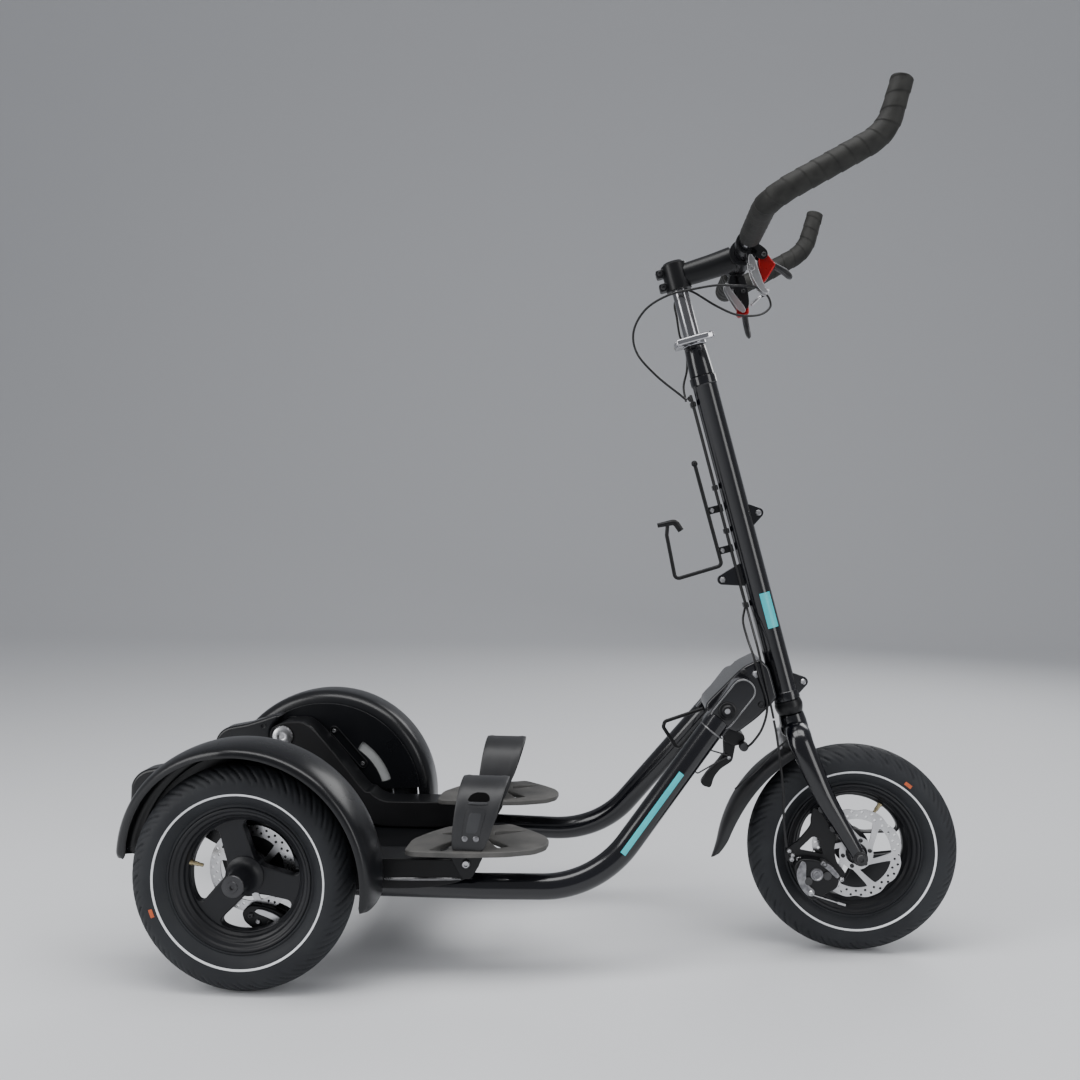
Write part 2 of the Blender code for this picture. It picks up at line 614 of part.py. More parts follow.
def foot_strap(name, side, seat, top):
    """A moulded strap that springs from the pedal's outer edge and arches over the foot to its inner edge."""
    arch = [(0.1930, 0.0004), (0.1945, 0.0300), (0.1880, 0.0640), (0.1720, 0.0850), (0.1500, 0.0935),
            (0.1250, 0.0920), (0.1020, 0.0800), (0.0860, 0.0550), (0.0790, 0.0250), (0.0770, 0.0004)]
    route = smooth_route([(0, y, z) for y, z in arch], 2)
    thickness = 0.0030
    bm = bmesh.new()
    rings = []
    for i, point in enumerate(route):
        ahead = (route[min(i + 1, len(route) - 1)] - route[max(i - 1, 0)]).normalized()
        outward = Vector((0, ahead.z, -ahead.y))
        rise = point.z / 0.0935
        half = 0.0200 + 0.0090 * rise
        lean = 0.0040 + 0.0230 * rise
        ring = []
        for edge, lift in ((-half, 0), (half, 0), (half, thickness), (-half, thickness)):
            spot = point + outward * lift
            z = max(spot.z, 0.0004)
            ring.append(bm.verts.new((lean + edge, side * spot.y, top + z)))
        rings.append(ring)
    for ring, after in zip(rings, rings[1:]):
        for k in range(4):
            bm.faces.new((ring[k], ring[(k + 1) % 4], after[(k + 1) % 4], after[k]))
    bm.faces.new(rings[0])
    bm.faces.new(rings[-1])
    place("foot_strap_" + name, bm, strap_rubber(), seat)


def rear_caliper(name, side, scooter):
    """A disc brake caliper below the rear axle, slotted for the disc."""
    low, high = (0.1700, 0.1995) if side > 0 else (-0.1995, -0.1700)
    outline = [(-0.0120, 0.1000), (0.0000, 0.1120), (0.0300, 0.1080), (0.0560, 0.0960), (0.0620, 0.0820),
               (0.0500, 0.0730), (0.0250, 0.0800), (0.0060, 0.0760), (-0.0080, 0.0860)]
    body = place("rear_caliper_" + name, prism(outline, low, high), satin_black(), scooter)
    bevel(body, 0.002, 1)
    middle = side * (HALF_TRACK - 0.0320 - ROTOR_THICKNESS * 0.5)
    slot = box((-0.03, middle - 0.0025, 0.0910), (0.10, middle + 0.0025, 0.14))
    cut(body, place("caliper_slot_" + name, slot, satin_black(), scooter))


def head_tube(column):
    """The long outer tube of the column, with three lugs for bags and racks welded on."""
    top, bottom = HEAD_TUBE_TOP, HEAD_TUBE_BOTTOM
    bore = STEERER_RADIUS + GAP
    outer = HEAD_TUBE_RADIUS
    profile = [(bore, bottom), (outer + 0.0015, bottom), (outer + 0.0015, bottom + 0.012), (outer, bottom + 0.014),
               (outer, top - 0.008), (outer + 0.0014, top - 0.006), (outer + 0.0014, top + 0.007), (bore, top + 0.007)]
    tube = place("head_tube", lathe(profile, 20, "Z"), gloss_black(), column)
    for name, height, direction, reach in (("low", 0.2570, 1, 0.0300), ("high", 0.5301, 1, 0.0300),
                                           ("rear", 0.4423, -1, 0.0500)):
        tip = direction * reach
        root = direction * 0.0150
        outline = ([(root, height - 0.019)] + arc((tip, height), 0.0075, -60 if direction > 0 else 240,
                                                  60 if direction > 0 else 120, 4) + [(root, height + 0.019)])
        join(tube, place("lug_" + name, prism(outline, -0.004, 0.004), gloss_black(), column))
    clearance = solid_pin(bore, bottom - 0.05, top + 0.05, 20, "Z")
    cut(tube, place("head_tube_bore", clearance, gloss_black(), column))
    return tube


def hinge_block(column, to_column):
    """The cast block between the ears that carries the column and turns on the fold bolt."""
    half = EAR_INNER - GAP
    corners = [(0.6530, 0.3800), (0.7130, 0.4420), (0.7400, 0.4560), (0.7540, 0.4420), (0.7660, 0.3980),
               (0.7600, 0.3880), (0.7360, 0.3640), (0.7080, 0.3420), (0.6900, 0.3480)]
    outline = [to_column(x, z) for x, z in corners]
    block = place("hinge_block", prism(outline, -half, half), satin_black(), column)
    bevel(block, 0.003, 2)
    pivot = to_column(FOLD_X, FOLD_Z)
    cut(block, place("block_bore", solid_pin(FOLD_BOLT_RADIUS + GAP, -0.1, 0.1, 16),
              satin_black(), column, (pivot[0], 0, pivot[1])))
    room = solid_pin(HEAD_TUBE_RADIUS + GAP, 0.1, 0.6, 24, "Z")
    cut(block, place("block_seat", room, satin_black(), column))


def headset(column):
    """Lower bearing cup under the head tube."""
    bottom = HEAD_TUBE_BOTTOM
    inner = STEERER_RADIUS + GAP
    profile = [(inner, bottom - GAP), (0.0205, bottom - GAP), (0.0218, bottom - 0.0080), (0.0195, bottom - 0.0215),
               (inner, bottom - 0.0215)]
    place("lower_headset_cup", lathe(profile, 20, "Z"), satin_black(), column)


def bottle_cage(column):
    """A bent wire holder on the back of the column, on two small feet, with a hooked head."""
    route = filleted([(-0.0460, 0, 0.6270), (-0.0450, 0, 0.4640), (-0.1210, 0, 0.4610), (-0.1165, 0, 0.5320),
                      (-0.1110, 0, 0.5480)], 0.007, 4)
    wire = place("bottle_cage", swept(route, 0.0030, 6), satin_black(), column)
    tube = swept(filleted([(-0.1270, 0, 0.5505), (-0.0985, 0, 0.5490), (-0.0930, 0, 0.5330)], 0.008, 3),
                 0.0052, 8)
    join(wire, place("cage_head", tube, satin_black(), column))
    ball = lathe([(0, 0.6245), (0.0042, 0.6262), (0.0050, 0.6300), (0.0034, 0.6338), (0, 0.6350)], 10, "Z", closed=False)
    join(wire, place("cage_tip", ball, satin_black(), column, (-0.0461, 0, 0)))
    for number, height in enumerate((0.4870, 0.5520)):
        foot = box((-0.0440, -0.0021, height - 0.0060), (-0.0210, 0.0021, height + 0.0060))
        join(wire, place("cage_foot_%d" % number, foot, satin_black(), column))


def fold_lock(column, to_column):
    """The spring bolt under the hinge block that holds the column up, and its finger lever, which
    hangs between two cheeks."""
    corners = [(0.7076, 0.3414), (0.6898, 0.3473), (0.6855, 0.3370), (0.6890, 0.3235), (0.7040, 0.3150),
               (0.7150, 0.3190), (0.7220, 0.3260), (0.7200, 0.3340)]
    barrel = place("lock_barrel", prism([to_column(x, z) for x, z in corners], -0.0220, 0.0220), satin_black(), column)
    bevel(barrel, 0.003, 2)
    knob = to_column(0.7185, 0.3175)
    join(barrel, place("lock_knob", solid_pin(0.0072, -0.0330, 0.0150, 14), satin_black(), column,
                       (knob[0], 0, knob[1])))
    px, pz = 0.6980, 0.2960
    hanger = [(0.6900, 0.3260)] + arc((px, pz), 0.0065, 190, 350, 6) + [(0.7090, 0.3200)]
    for number, low in enumerate((-0.0100, 0.0074)):
        cheek = prism([to_column(x, z) for x, z in hanger], low, low + 0.0026)
        join(barrel, place("lock_hanger_%d" % number, cheek, satin_black(), column))
    corners = [(0.7060, 0.2990), (0.6990, 0.3045), (0.6900, 0.3010), (0.6790, 0.2860), (0.6640, 0.2700),
               (0.6545, 0.2550), (0.6590, 0.2490), (0.6710, 0.2460), (0.6760, 0.2640), (0.6860, 0.2770),
               (0.7040, 0.2890)]
    seat = to_column(px, pz)
    outline = [(to_column(x, z)[0] - seat[0], to_column(x, z)[1] - seat[1]) for x, z in corners]
    lever = place("lock_lever", prism(outline, -0.0070, 0.0070), satin_black(), column, (seat[0], 0, seat[1]))
    bevel(lever, 0.002, 1)


def catch_loop(column, to_column):
    """The wire loop behind the hinge block that is pulled to let the column fold."""
    px, pz = 0.6580, 0.3700
    seat = to_column(px, pz)
    corners = [(0.6580, 0.3700), (0.5985, 0.3485), (0.5960, 0.3400), (0.6190, 0.3050), (0.6420, 0.3330)]
    flat = [(to_column(x, z)[0] - seat[0], 0, to_column(x, z)[1] - seat[1]) for x, z in corners]
    place("catch_loop", swept(filleted(flat, 0.006, 3), 0.0030, 8), satin_black(), column, (seat[0], 0, seat[1]))


def steerer(steering):
    """The inner tube that turns in the head tube, with the tapered sleeve that stands out above it."""
    top = HEAD_TUBE_TOP + 0.0075
    inner = POST_RADIUS + GAP
    profile = [(inner, 0.2140), (STEERER_RADIUS, 0.2140), (STEERER_RADIUS, top), (0.0186, top), (0.0186, top + 0.004),
               (0.0165, CLAMP_HEIGHT - 0.0095), (0.0150, CLAMP_HEIGHT - 0.0080), (0.0150, CLAMP_HEIGHT + 0.0070),
               (inner, CLAMP_HEIGHT + 0.0070)]
    place("steerer_tube", lathe(profile, 20, "Z"), gloss_black(), steering)


def post_clamp(steering):
    """The silver quick-release collar round the sleeve, with its nut and its cam lever."""
    inner = 0.0150 + GAP
    low, high = CLAMP_HEIGHT - 0.0070, CLAMP_HEIGHT + 0.0060
    collar = place("clamp_collar", lathe([(inner, low), (0.0190, low), (0.0190, high), (inner, high)], 24, "Z"),
                   bare_steel(), steering)
    lug = place("collar_lug", box((-0.0300, -0.0190, low + 0.0005), (-0.0160, 0.0100, high - 0.0005)), bare_steel(),
                steering)
    join(collar, lug)
    cut(collar, place("collar_bore", solid_pin(inner, 0.7, 0.9, 24, "Z"), bare_steel(), steering))
    join(collar, place("clamp_nut", solid_pin(0.0055, 0.0090, 0.0170, 10), bare_steel(), steering,
                       (-0.0245, 0, CLAMP_HEIGHT)))


def clamp_lever(steering):
    """The cam lever of the collar, closed round the column's near side to the front."""
    pivot = empty("clamp_lever_pivot", steering, (-0.0245, -0.0262, CLAMP_HEIGHT))
    outline = [(-0.0050, -0.0050), (0.0060, -0.0058), (0.0300, -0.0072), (0.0440, -0.0060), (0.0540, -0.0020),
               (0.0560, 0.0015), (0.0500, 0.0010), (0.0400, -0.0015), (0.0280, -0.0030), (0.0060, 0.0045),
               (-0.0030, 0.0058)]
    lever = place("clamp_lever", slab(outline, -0.0050, 0.0050), bare_steel(), pivot)
    bevel(lever, 0.0012, 1)
    return pivot


def fork(steering, to_column):
    """A unicrown fork: crown under the lower bearing and two legs that taper and rake forward."""
    crown_profile = [(0, 0.1800), (0.0200, 0.1815), (0.0215, 0.1880), (0.0195, 0.2130), (0, 0.2136)]
    crown = place("fork", lathe(crown_profile, 16, "Z", closed=False), gloss_black(), steering)
    hub = to_column(WHEELBASE, TYRE_RADIUS)
    for name, side in SIDES:
        spots = [(0.8010, 0.0120, 0.3440), (0.8009, 0.0270, 0.3425), (0.8004, 0.0380, 0.3375), (0.8006, 0.0455, 0.3285),
                 (0.8080, 0.0505, 0.3120), (0.8210, 0.0540, 0.2840), (0.8380, 0.0560, 0.2480)]
        route = [(to_column(x, z)[0], side * y, to_column(x, z)[1]) for x, y, z in spots]
        route.append((hub[0], side * 0.0570, hub[1]))
        radii = [0.0170, 0.0178, 0.0180, 0.0176, 0.0166, 0.0154, 0.0140, 0.0105]
        join(crown, place("fork_leg_" + name, swept(route, radii, 12, 0.72), gloss_black(), steering))
    cut(crown, place("fork_axle_bore", solid_pin(AXLE_RADIUS + GAP, -0.1, 0.1, 12), gloss_black(), steering,
                     (hub[0], 0, hub[1])))
    return hub


def handlebar(bar):
    """Bullhorn handlebar: a straight middle, and taped horns that run out, forward and up."""
    place("handlebar", solid_pin(BAR_RADIUS, -TAPE_START + GAP, TAPE_START - GAP, 16), bare_steel(), bar)
    for name, side in SIDES:
        corners = [(0, TAPE_START, 0), (0, BAR_HALF_WIDTH, 0), (0.1480, BAR_HALF_WIDTH + 0.004, 0.0800),
                   (0.1680, BAR_HALF_WIDTH + 0.005, 0.1520)]
        route = filleted(mirrored(corners, side), [0.040, 0.062], 5)
        place("taped_horn_" + name, swept(route, TAPE_RADIUS, 12), bar_tape(), bar)


def stem(post):
    """The stem: a clamp round the post, a tapered neck, and a clamp round the bar with a front cap."""
    low = STEM_HEIGHT - 0.0220
    high = STEM_HEIGHT + 0.0200
    inner = POST_RADIUS + GAP
    body = place("stem", lathe([(0, low), (0.0200, low), (0.0200, high), (0.0150, high + 0.0035), (0, high + 0.0035)],
                               16, "Z", closed=False), satin_black(), post)
    neck = swept([(0.004, 0, STEM_HEIGHT), (0.045, 0, STEM_HEIGHT + 0.001), (BAR_REACH - 0.006, 0, STEM_HEIGHT + 0.004)],
                 [0.0195, 0.0190, 0.0206], 12)
    join(body, place("stem_neck", neck, satin_black(), post))
    join(body, place("stem_bar_clamp", solid_pin(0.0205, -0.0210, 0.0210, 20), satin_black(), post,
                     (BAR_REACH, 0, STEM_HEIGHT + 0.0047)))
    for number, middle in enumerate((low + 0.0100, high - 0.0100)):
        ear = box((-0.0300, -0.0095, middle - 0.0065), (-0.0150, 0.0095, middle + 0.0065))
        join(body, place("stem_rear_ear_%d" % number, ear, satin_black(), post))
    cut(body, place("stem_post_bore", solid_pin(inner, 0.8, STEM_HEIGHT + 0.0180 + GAP, 16, "Z"), satin_black(), post))
    cut(body, place("stem_bar_bore", solid_pin(BAR_RADIUS + GAP, -0.1, 0.1, 16), satin_black(), post,
                    (BAR_REACH, 0, STEM_HEIGHT + 0.0047)))


def brake(name, side, bar, drop, stretch):
    """A brake perch on the bar and the lever on it; drop turns the pair down about the bar, in degrees,
    and stretch scales how far both reach out from it."""
    seat = empty("brake_seat_" + name, bar, (0, 0, 0), drop)
    low, high = (0.0600, 0.0780) if side > 0 else (-0.0780, -0.0600)
    ring = [(BAR_RADIUS + GAP, low), (0.0172, low), (0.0172, high), (BAR_RADIUS + GAP, high)]
    perch = place("brake_perch_" + name, lathe(ring, 20), satin_black(), seat)
    body = [(0.0130, 0.0040), (0.0270, 0.0030), (0.0400, -0.0080), (0.0600, -0.0260), (0.0660, -0.0340),
            (0.0580, -0.0400), (0.0400, -0.0300), (0.0200, -0.0200), (0.0080, -0.0140)]
    body = [(x * stretch, z) for x, z in body]
    join(perch, place("perch_body_" + name, prism(body, low, high), satin_black(), seat))
    cut(perch, place("perch_bore_" + name, solid_pin(BAR_RADIUS + GAP, -0.2, 0.2, 20), satin_black(), seat))
    reach = LEVER_REACH * stretch
    pivot = empty("brake_lever_pivot_" + name, seat, (reach, 0, LEVER_LIFT))
    outline = [(0.0312, 0.0058), (0.0350, 0.0080), (0.0600, 0.0060), (0.0860, 0.0110), (0.0990, 0.0090),
               (0.1020, 0.0040), (0.0960, 0.0010), (0.0800, 0.0010), (0.0720, -0.0040), (0.0780, -0.0180),
               (0.0720, -0.0240), (0.0620, -0.0160), (0.0440, -0.0020)]
    outline = [(x * stretch - reach, z - LEVER_LIFT) for x, z in outline]
    low, high = (0.0625, 0.0755) if side > 0 else (-0.0755, -0.0625)
    blade = place("brake_lever_" + name, prism(outline, low, high), signal_red(), pivot)
    bevel(blade, 0.0015, 2)


def front_brake(steering, to_column):
    """Front caliper on its bracket plate behind the right fork leg."""
    corners = [(0.8216, 0.2330), (0.8325, 0.2270), (0.8408, 0.2142), (0.8515, 0.1970), (0.8560, 0.1880),
               (0.8529, 0.1676), (0.8571, 0.1487), (0.8719, 0.1315), (0.8620, 0.1216), (0.8300, 0.1300),
               (0.7960, 0.1400), (0.7810, 0.1500), (0.7800, 0.1640), (0.7900, 0.1745), (0.7981, 0.1790),
               (0.8177, 0.2034), (0.8177, 0.2157)]
    plate = place("caliper_bracket", prism([to_column(x, z) for x, z in corners], -0.0500, -0.0440), satin_black(),
                  steering)
    window = [(0.8040, 0.1668), (0.8150, 0.1800), (0.8234, 0.1885), (0.8300, 0.1840), (0.8310, 0.1760),
              (0.8240, 0.1690)]
    cut(plate, place("bracket_window", prism([to_column(x, z) for x, z in window], -0.0600, -0.0400),
                     satin_black(), steering))
    corners = [(0.7840, 0.1560), (0.8049, 0.1610), (0.8290, 0.1570), (0.8480, 0.1420), (0.8600, 0.1290),
               (0.8560, 0.1130), (0.8400, 0.1040), (0.8250, 0.0935), (0.8160, 0.0915), (0.8040, 0.1060),
               (0.7900, 0.1280), (0.7820, 0.1420)]
    outline = [to_column(x, z) for x, z in corners]
    body = place("front_caliper", prism(outline, -0.0640, -0.0460), satin_black(), steering)
    bevel(body, 0.002, 1)
    join(body, plate)


def front_fender(steering, to_column):
    """A narrow trailing fender behind the front wheel, on a bracket under the crown."""
    steps = 12
    bm = bmesh.new()
    rings = []
    for i in range(steps + 1):
        share = i / steps
        degrees = 126 + 60 * share
        grow = 0.1870 + 0.0270 * share ** 1.5
        half = 0.0330 * (1 - 0.72 * share ** 4)
        section = [(-half, grow - 0.016), (-half * 0.8, grow - 0.004), (0, grow), (half * 0.8, grow - 0.004),
                   (half, grow - 0.016), (half - 0.002, grow - 0.017), (half * 0.76, grow - 0.0064),
                   (0, grow - 0.0024), (-half * 0.76, grow - 0.0064), (-half + 0.002, grow - 0.017)]
        ring = []
        for y, radius in section:
            x, z = polar(radius, degrees)
            u, s = to_column(WHEELBASE + x, TYRE_RADIUS + z)
            ring.append(bm.verts.new((u, y, s)))
        rings.append(ring)
    count = len(rings[0])
    for ring, after in zip(rings, rings[1:]):
        for k in range(count):
            bm.faces.new((ring[k], ring[(k + 1) % count], after[(k + 1) % count], after[k]))
    bm.faces.new(rings[0])
    bm.faces.new(rings[-1])
    fender = place("front_fender", bm, satin_black(), steering)
    corners = [(0.7715, 0.3400), (0.7780, 0.3420), (0.7830, 0.3050), (0.7760, 0.3040)]
    bracket = prism([to_column(x, z) for x, z in corners], -0.0090, 0.0090)
    join(fender, place("fender_bracket", bracket, satin_black(), steering))


def cables(column, steering, post, from_world):
    """Brake hoses: from each lever round to the back of the column, down it, and on to the brakes."""
    hose = 0.0046
    behind = -0.0250
    clear = -0.0336
    spread = 0.0072
    right_top = [(0.7135, -0.0680, 1.0160), (0.6990, -0.0590, 1.0205), (0.6693, -0.0460, 1.0250),
                 (0.6339, -0.0370, 1.0215), (0.5959, -0.0300, 1.0140), (0.5620, -0.0230, 0.9940),
                 (0.5440, -0.0150, 0.9620), (0.5500, -0.0090, 0.9280), (0.5800, -0.0060, 0.8940),
                 (0.6170, -0.0064, 0.8640)]
    right_top = [from_world(*spot) for spot in right_top] + [(clear, -spread, 0.7290)]
    cord("brake_hose_upper_right", smooth_route(right_top, 2), hose, satin_black(), post)
    left_top = [(0.6862, 0.0690, 0.9972), (0.6740, 0.0600, 0.9925), (0.6560, 0.0480, 0.9955),
                (0.6370, 0.0380, 1.0000), (0.6210, 0.0310, 0.9990)]
    left_top = [from_world(*spot) for spot in left_top]
    left_top += [(-0.0125, 0.0280, 0.8520), (-0.0165, 0.0290, 0.8280), (-0.0220, 0.0285, 0.8050),
                 (-0.0290, 0.0250, 0.7830), (-0.0352, 0.0170, 0.7580), (clear, spread, 0.7290)]
    cord("brake_hose_upper_left", smooth_route(left_top, 2), hose, satin_black(), post)
    rear = [(behind, spread, 0.7270), (behind, spread, 0.5500), (behind, spread, 0.4200),
            (behind, spread, 0.3950), (-0.0350, 0.0010, 0.3720), (-0.0385, -0.0280, 0.3480),
            (-0.0385, -0.0500, 0.3220), (-0.0385, -0.0525, 0.2900)]
    rear += [from_world(*spot) for spot in [(0.7490, -0.0525, 0.3950), (0.7490, -0.0525, 0.3720),
                                            (0.7420, -0.0500, 0.3480), (0.7310, -0.0440, 0.3290),
                                            (0.7240, -0.0350, 0.3190)]]
    cord("rear_brake_hose", smooth_route(rear, 2), hose, satin_black(), column)
    front = [(behind, -spread, 0.7270), (behind, -spread, 0.5500), (behind, -spread, 0.4100),
             (behind, -spread, 0.3900), (-0.0270, -0.0280, 0.3600), (-0.0290, -0.0480, 0.3280),
             (-0.0310, -0.0505, 0.2850), (-0.0320, -0.0505, 0.2450), (-0.0330, -0.0505, 0.2225)]
    cord("front_brake_hose", smooth_route(front, 2), hose, satin_black(), column)
    low = [(-0.0334, -0.0505, 0.2195), (-0.0360, -0.0520, 0.1900), (-0.0460, -0.0570, 0.1200),
           (-0.0580, -0.0580, 0.0700), (-0.0640, -0.0560, 0.0300)]
    cord("front_brake_hose_lower", smooth_route(low, 3), hose, satin_black(), steering)


def build():
    clear_scene()
    scooter = empty("scooter", None, (REAR_AXLE_X, 0, 0))
    rear_structure(scooter)
    frame_rails(scooter)
    fold_bolt(scooter)
    fenders(scooter)
    pivot_covers(scooter)
    rear_wheels(scooter)
    for name, side in SIDES:
        arm = pedal_arm(name, side, scooter)
        pedal(name, side, arm)
        rear_caliper(name, side, scooter)

    angle = math.radians(HEAD_ANGLE)

    def to_column(x, z):
        dx, dz = x - STEER_FOOT_X, z - TYRE_RADIUS
        return (dx * math.cos(angle) + dz * math.sin(angle), -dx * math.sin(angle) + dz * math.cos(angle))

    def from_world(x, y, z):
        reach, height = to_column(x, z)
        return (reach, y, height)

    fold = empty("fold_axis", scooter, (FOLD_X, 0, FOLD_Z))
    column = empty("column", fold, (STEER_FOOT_X - FOLD_X, 0, TYRE_RADIUS - FOLD_Z), -HEAD_ANGLE)
    head_tube(column)
    hinge_block(column, to_column)
    headset(column)
    bottle_cage(column)
    fold_lock(column, to_column)
    catch_loop(column, to_column)

    steering = empty("steering", column)
    steerer(steering)
    post_clamp(steering)
    clamp_lever(steering)
    hub = fork(steering, to_column)
    front_wheel(steering, (hub[0], 0, hub[1]))
    axle("front_axle", steering, (hub[0], 0, hub[1]), -0.0660, 0.0660, -1, 0.0110)
    front_brake(steering, to_column)
    front_fender(steering, to_column)

    post = empty("post", steering)
    place("handlebar_post", solid_pin(POST_RADIUS, 0.6000, STEM_HEIGHT + 0.0180, 16, "Z"), bare_steel(), post)
    bar = empty("bar", post, (BAR_REACH, 0, STEM_HEIGHT + 0.0047), HEAD_ANGLE)
    stem(post)
    handlebar(bar)
    brake("right", -1, bar, 42, RIGHT_STRETCH)
    brake("left", 1, bar, 77, LEFT_STRETCH)
    cables(column, steering, post, from_world)


build()
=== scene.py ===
import math

import bmesh
import bpy
import numpy as np
from mathutils import Matrix, Vector
from mathutils.geometry import delaunay_2d_cdt


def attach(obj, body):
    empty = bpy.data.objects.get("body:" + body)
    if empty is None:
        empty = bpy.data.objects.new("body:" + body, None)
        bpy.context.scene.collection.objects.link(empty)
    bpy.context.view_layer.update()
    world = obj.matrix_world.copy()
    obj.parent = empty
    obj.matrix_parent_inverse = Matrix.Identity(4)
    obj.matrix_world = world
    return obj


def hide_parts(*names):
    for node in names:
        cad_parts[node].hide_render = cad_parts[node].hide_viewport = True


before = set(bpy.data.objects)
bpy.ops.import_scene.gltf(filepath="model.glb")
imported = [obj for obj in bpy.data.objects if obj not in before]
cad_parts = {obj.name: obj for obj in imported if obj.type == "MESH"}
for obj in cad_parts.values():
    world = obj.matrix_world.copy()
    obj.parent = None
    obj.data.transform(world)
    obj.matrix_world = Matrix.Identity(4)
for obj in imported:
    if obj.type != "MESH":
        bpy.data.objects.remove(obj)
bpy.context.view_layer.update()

# Stage: a low three-quarter view square to the scooter's right side, on a pale floor, lit by one
# wide soft box overhead, one at each side of the camera and one behind for the edges. In metres.
camera_place = Vector((0.0878, -1.5897, 0.654))
camera_yaw, camera_pitch, camera_roll = 0.0734, 0.0125, 0.0072
forward = Vector((-math.sin(camera_yaw) * math.cos(camera_pitch),
                  math.cos(camera_yaw) * math.cos(camera_pitch), -math.sin(camera_pitch)))
level = Vector((math.cos(camera_yaw), math.sin(camera_yaw), 0))
upright = level.cross(forward)
across = math.cos(camera_roll) * level + math.sin(camera_roll) * upright
above = -math.sin(camera_roll) * level + math.cos(camera_roll) * upright
camera = bpy.data.objects.new("camera", bpy.data.cameras.new("camera"))
bpy.context.scene.collection.objects.link(camera)
camera.matrix_world = (Matrix.Translation(camera_place)
                       @ Matrix((across, above, -forward)).transposed().to_4x4())
camera.data.sensor_width = 36
camera.data.lens = 1000 * 36 / 1080
bpy.context.scene.camera = camera


def soft_box(name, place, target, size, watts):
    """A rectangular lamp at a place, turned to face the target."""
    lamp = bpy.data.lights.new(name, "AREA")
    lamp.shape = "RECTANGLE"
    lamp.size, lamp.size_y = size
    lamp.energy = watts
    holder = bpy.data.objects.new(name, lamp)
    bpy.context.scene.collection.objects.link(holder)
    holder.location = place
    holder.rotation_euler = (Vector(target) - Vector(place)).to_track_quat("-Z", "Y").to_euler()


soft_box("overhead", (0.1, -0.6, 2.7), (0, 0, 0.3), (3.2, 1.1), 62)
soft_box("left_side", (-2.3, -1.5, 1.4), (0, 0, 0.6), (1.1, 2.4), 40)
soft_box("right_side", (2.5, -1.8, 1.3), (0.2, 0, 0.5), (1.1, 2.4), 30)
soft_box("behind", (1.6, 2.6, 2.2), (0, 0, 0.5), (2.0, 1.4), 30)


def shader_node(tree, kind, **settings):
    """A new node in a shader tree, with its properties set."""
    made = tree.nodes.new("ShaderNode" + kind)
    for key, value in settings.items():
        setattr(made, key, value)
    return made


def join(tree, *pairs):
    """Links in a shader tree, each given as node, output, node, input."""
    for start, output, end, entry in pairs:
        tree.links.new(start.outputs[output], end.inputs[entry])


world = bpy.data.worlds.new("studio")
bpy.context.scene.world = world
world.use_nodes = True
air = world.node_tree
air.nodes.clear()
ray = shader_node(air, "LightPath")
seen, mirrored = (shader_node(air, "Math", operation="MAXIMUM") for _ in range(2))
shade = shader_node(air, "Mix", data_type="RGBA")
shade.inputs["A"].default_value = (0.34, 0.345, 0.36, 1)
shade.inputs["B"].default_value = (0.28, 0.285, 0.30, 1)
glow, sky = shader_node(air, "Background"), shader_node(air, "OutputWorld")
join(air, (ray, "Is Camera Ray", seen, 0), (ray, "Is Transmission Ray", mirrored, 0),
     (ray, "Is Glossy Ray", mirrored, 1), (mirrored, 0, seen, 1), (seen, 0, shade, "Factor"),
     (shade, "Result", glow, "Color"), (glow, "Background", sky, "Surface"))

bend = np.radians(np.linspace(0, 90, 24))
cove_y = np.concatenate([[-9], 4 + 3 * np.sin(bend), [7]])
cove_z = np.concatenate([[0], 3 - 3 * np.cos(bend), [9]]) - 0.0006
cove = np.stack([np.stack([0 * cove_y + end, cove_y, cove_z], axis=-1) for end in (-12, 12)])
floor_mesh = bpy.data.meshes.new("floor")
count = len(cove_y)
floor_mesh.from_pydata(cove.reshape(-1, 3), [],
                       [(k, count + k, count + k + 1, k + 1) for k in range(count - 1)])
floor_mesh.shade_smooth()
floor = bpy.data.objects.new("floor", floor_mesh)
bpy.context.scene.collection.objects.link(floor)
floor_paint = bpy.data.materials.new("floor_paint")
floor_paint.use_nodes = True
floor_paint.node_tree.nodes["Principled BSDF"].inputs["Base Color"].default_value = (0.74, 0.75, 0.77, 1)
floor_paint.node_tree.nodes["Principled BSDF"].inputs["Roughness"].default_value = 0.9
floor_mesh.materials.append(floor_paint)


# Tyres: 12 1/2 inch road tyres of charcoal rubber, moulded with slanted shoulder grooves that run
# out over the sidewalls, and with a white reflective band round each sidewall.
REAR_AXLE_X = -427.4
TYRE_MIDDLE, TYRE_HALF_HEIGHT, TYRE_HALF_WIDTH = 130, 30, 28.5
WHEEL_HEIGHT = 160
HALF_TRACK = 220.8
SIDES = (("right", -1), ("left", 1))
hubs = {"front": np.array([889, 0, WHEEL_HEIGHT]), "rear_right": np.array([0, -HALF_TRACK, WHEEL_HEIGHT]),
        "rear_left": np.array([0, HALF_TRACK, WHEEL_HEIGHT])}
wheel_body = {"front": "front_wheel", "rear_right": "rear_wheel_right", "rear_left": "rear_wheel_left"}


def in_metres(points):
    """Points in metres of the scooter's frame, from millimetres forward, left and up of the floor
    under the rear axle, in which all pieces are written."""
    return (np.asarray(points) + (REAR_AXLE_X, 0, 0)) / 1000


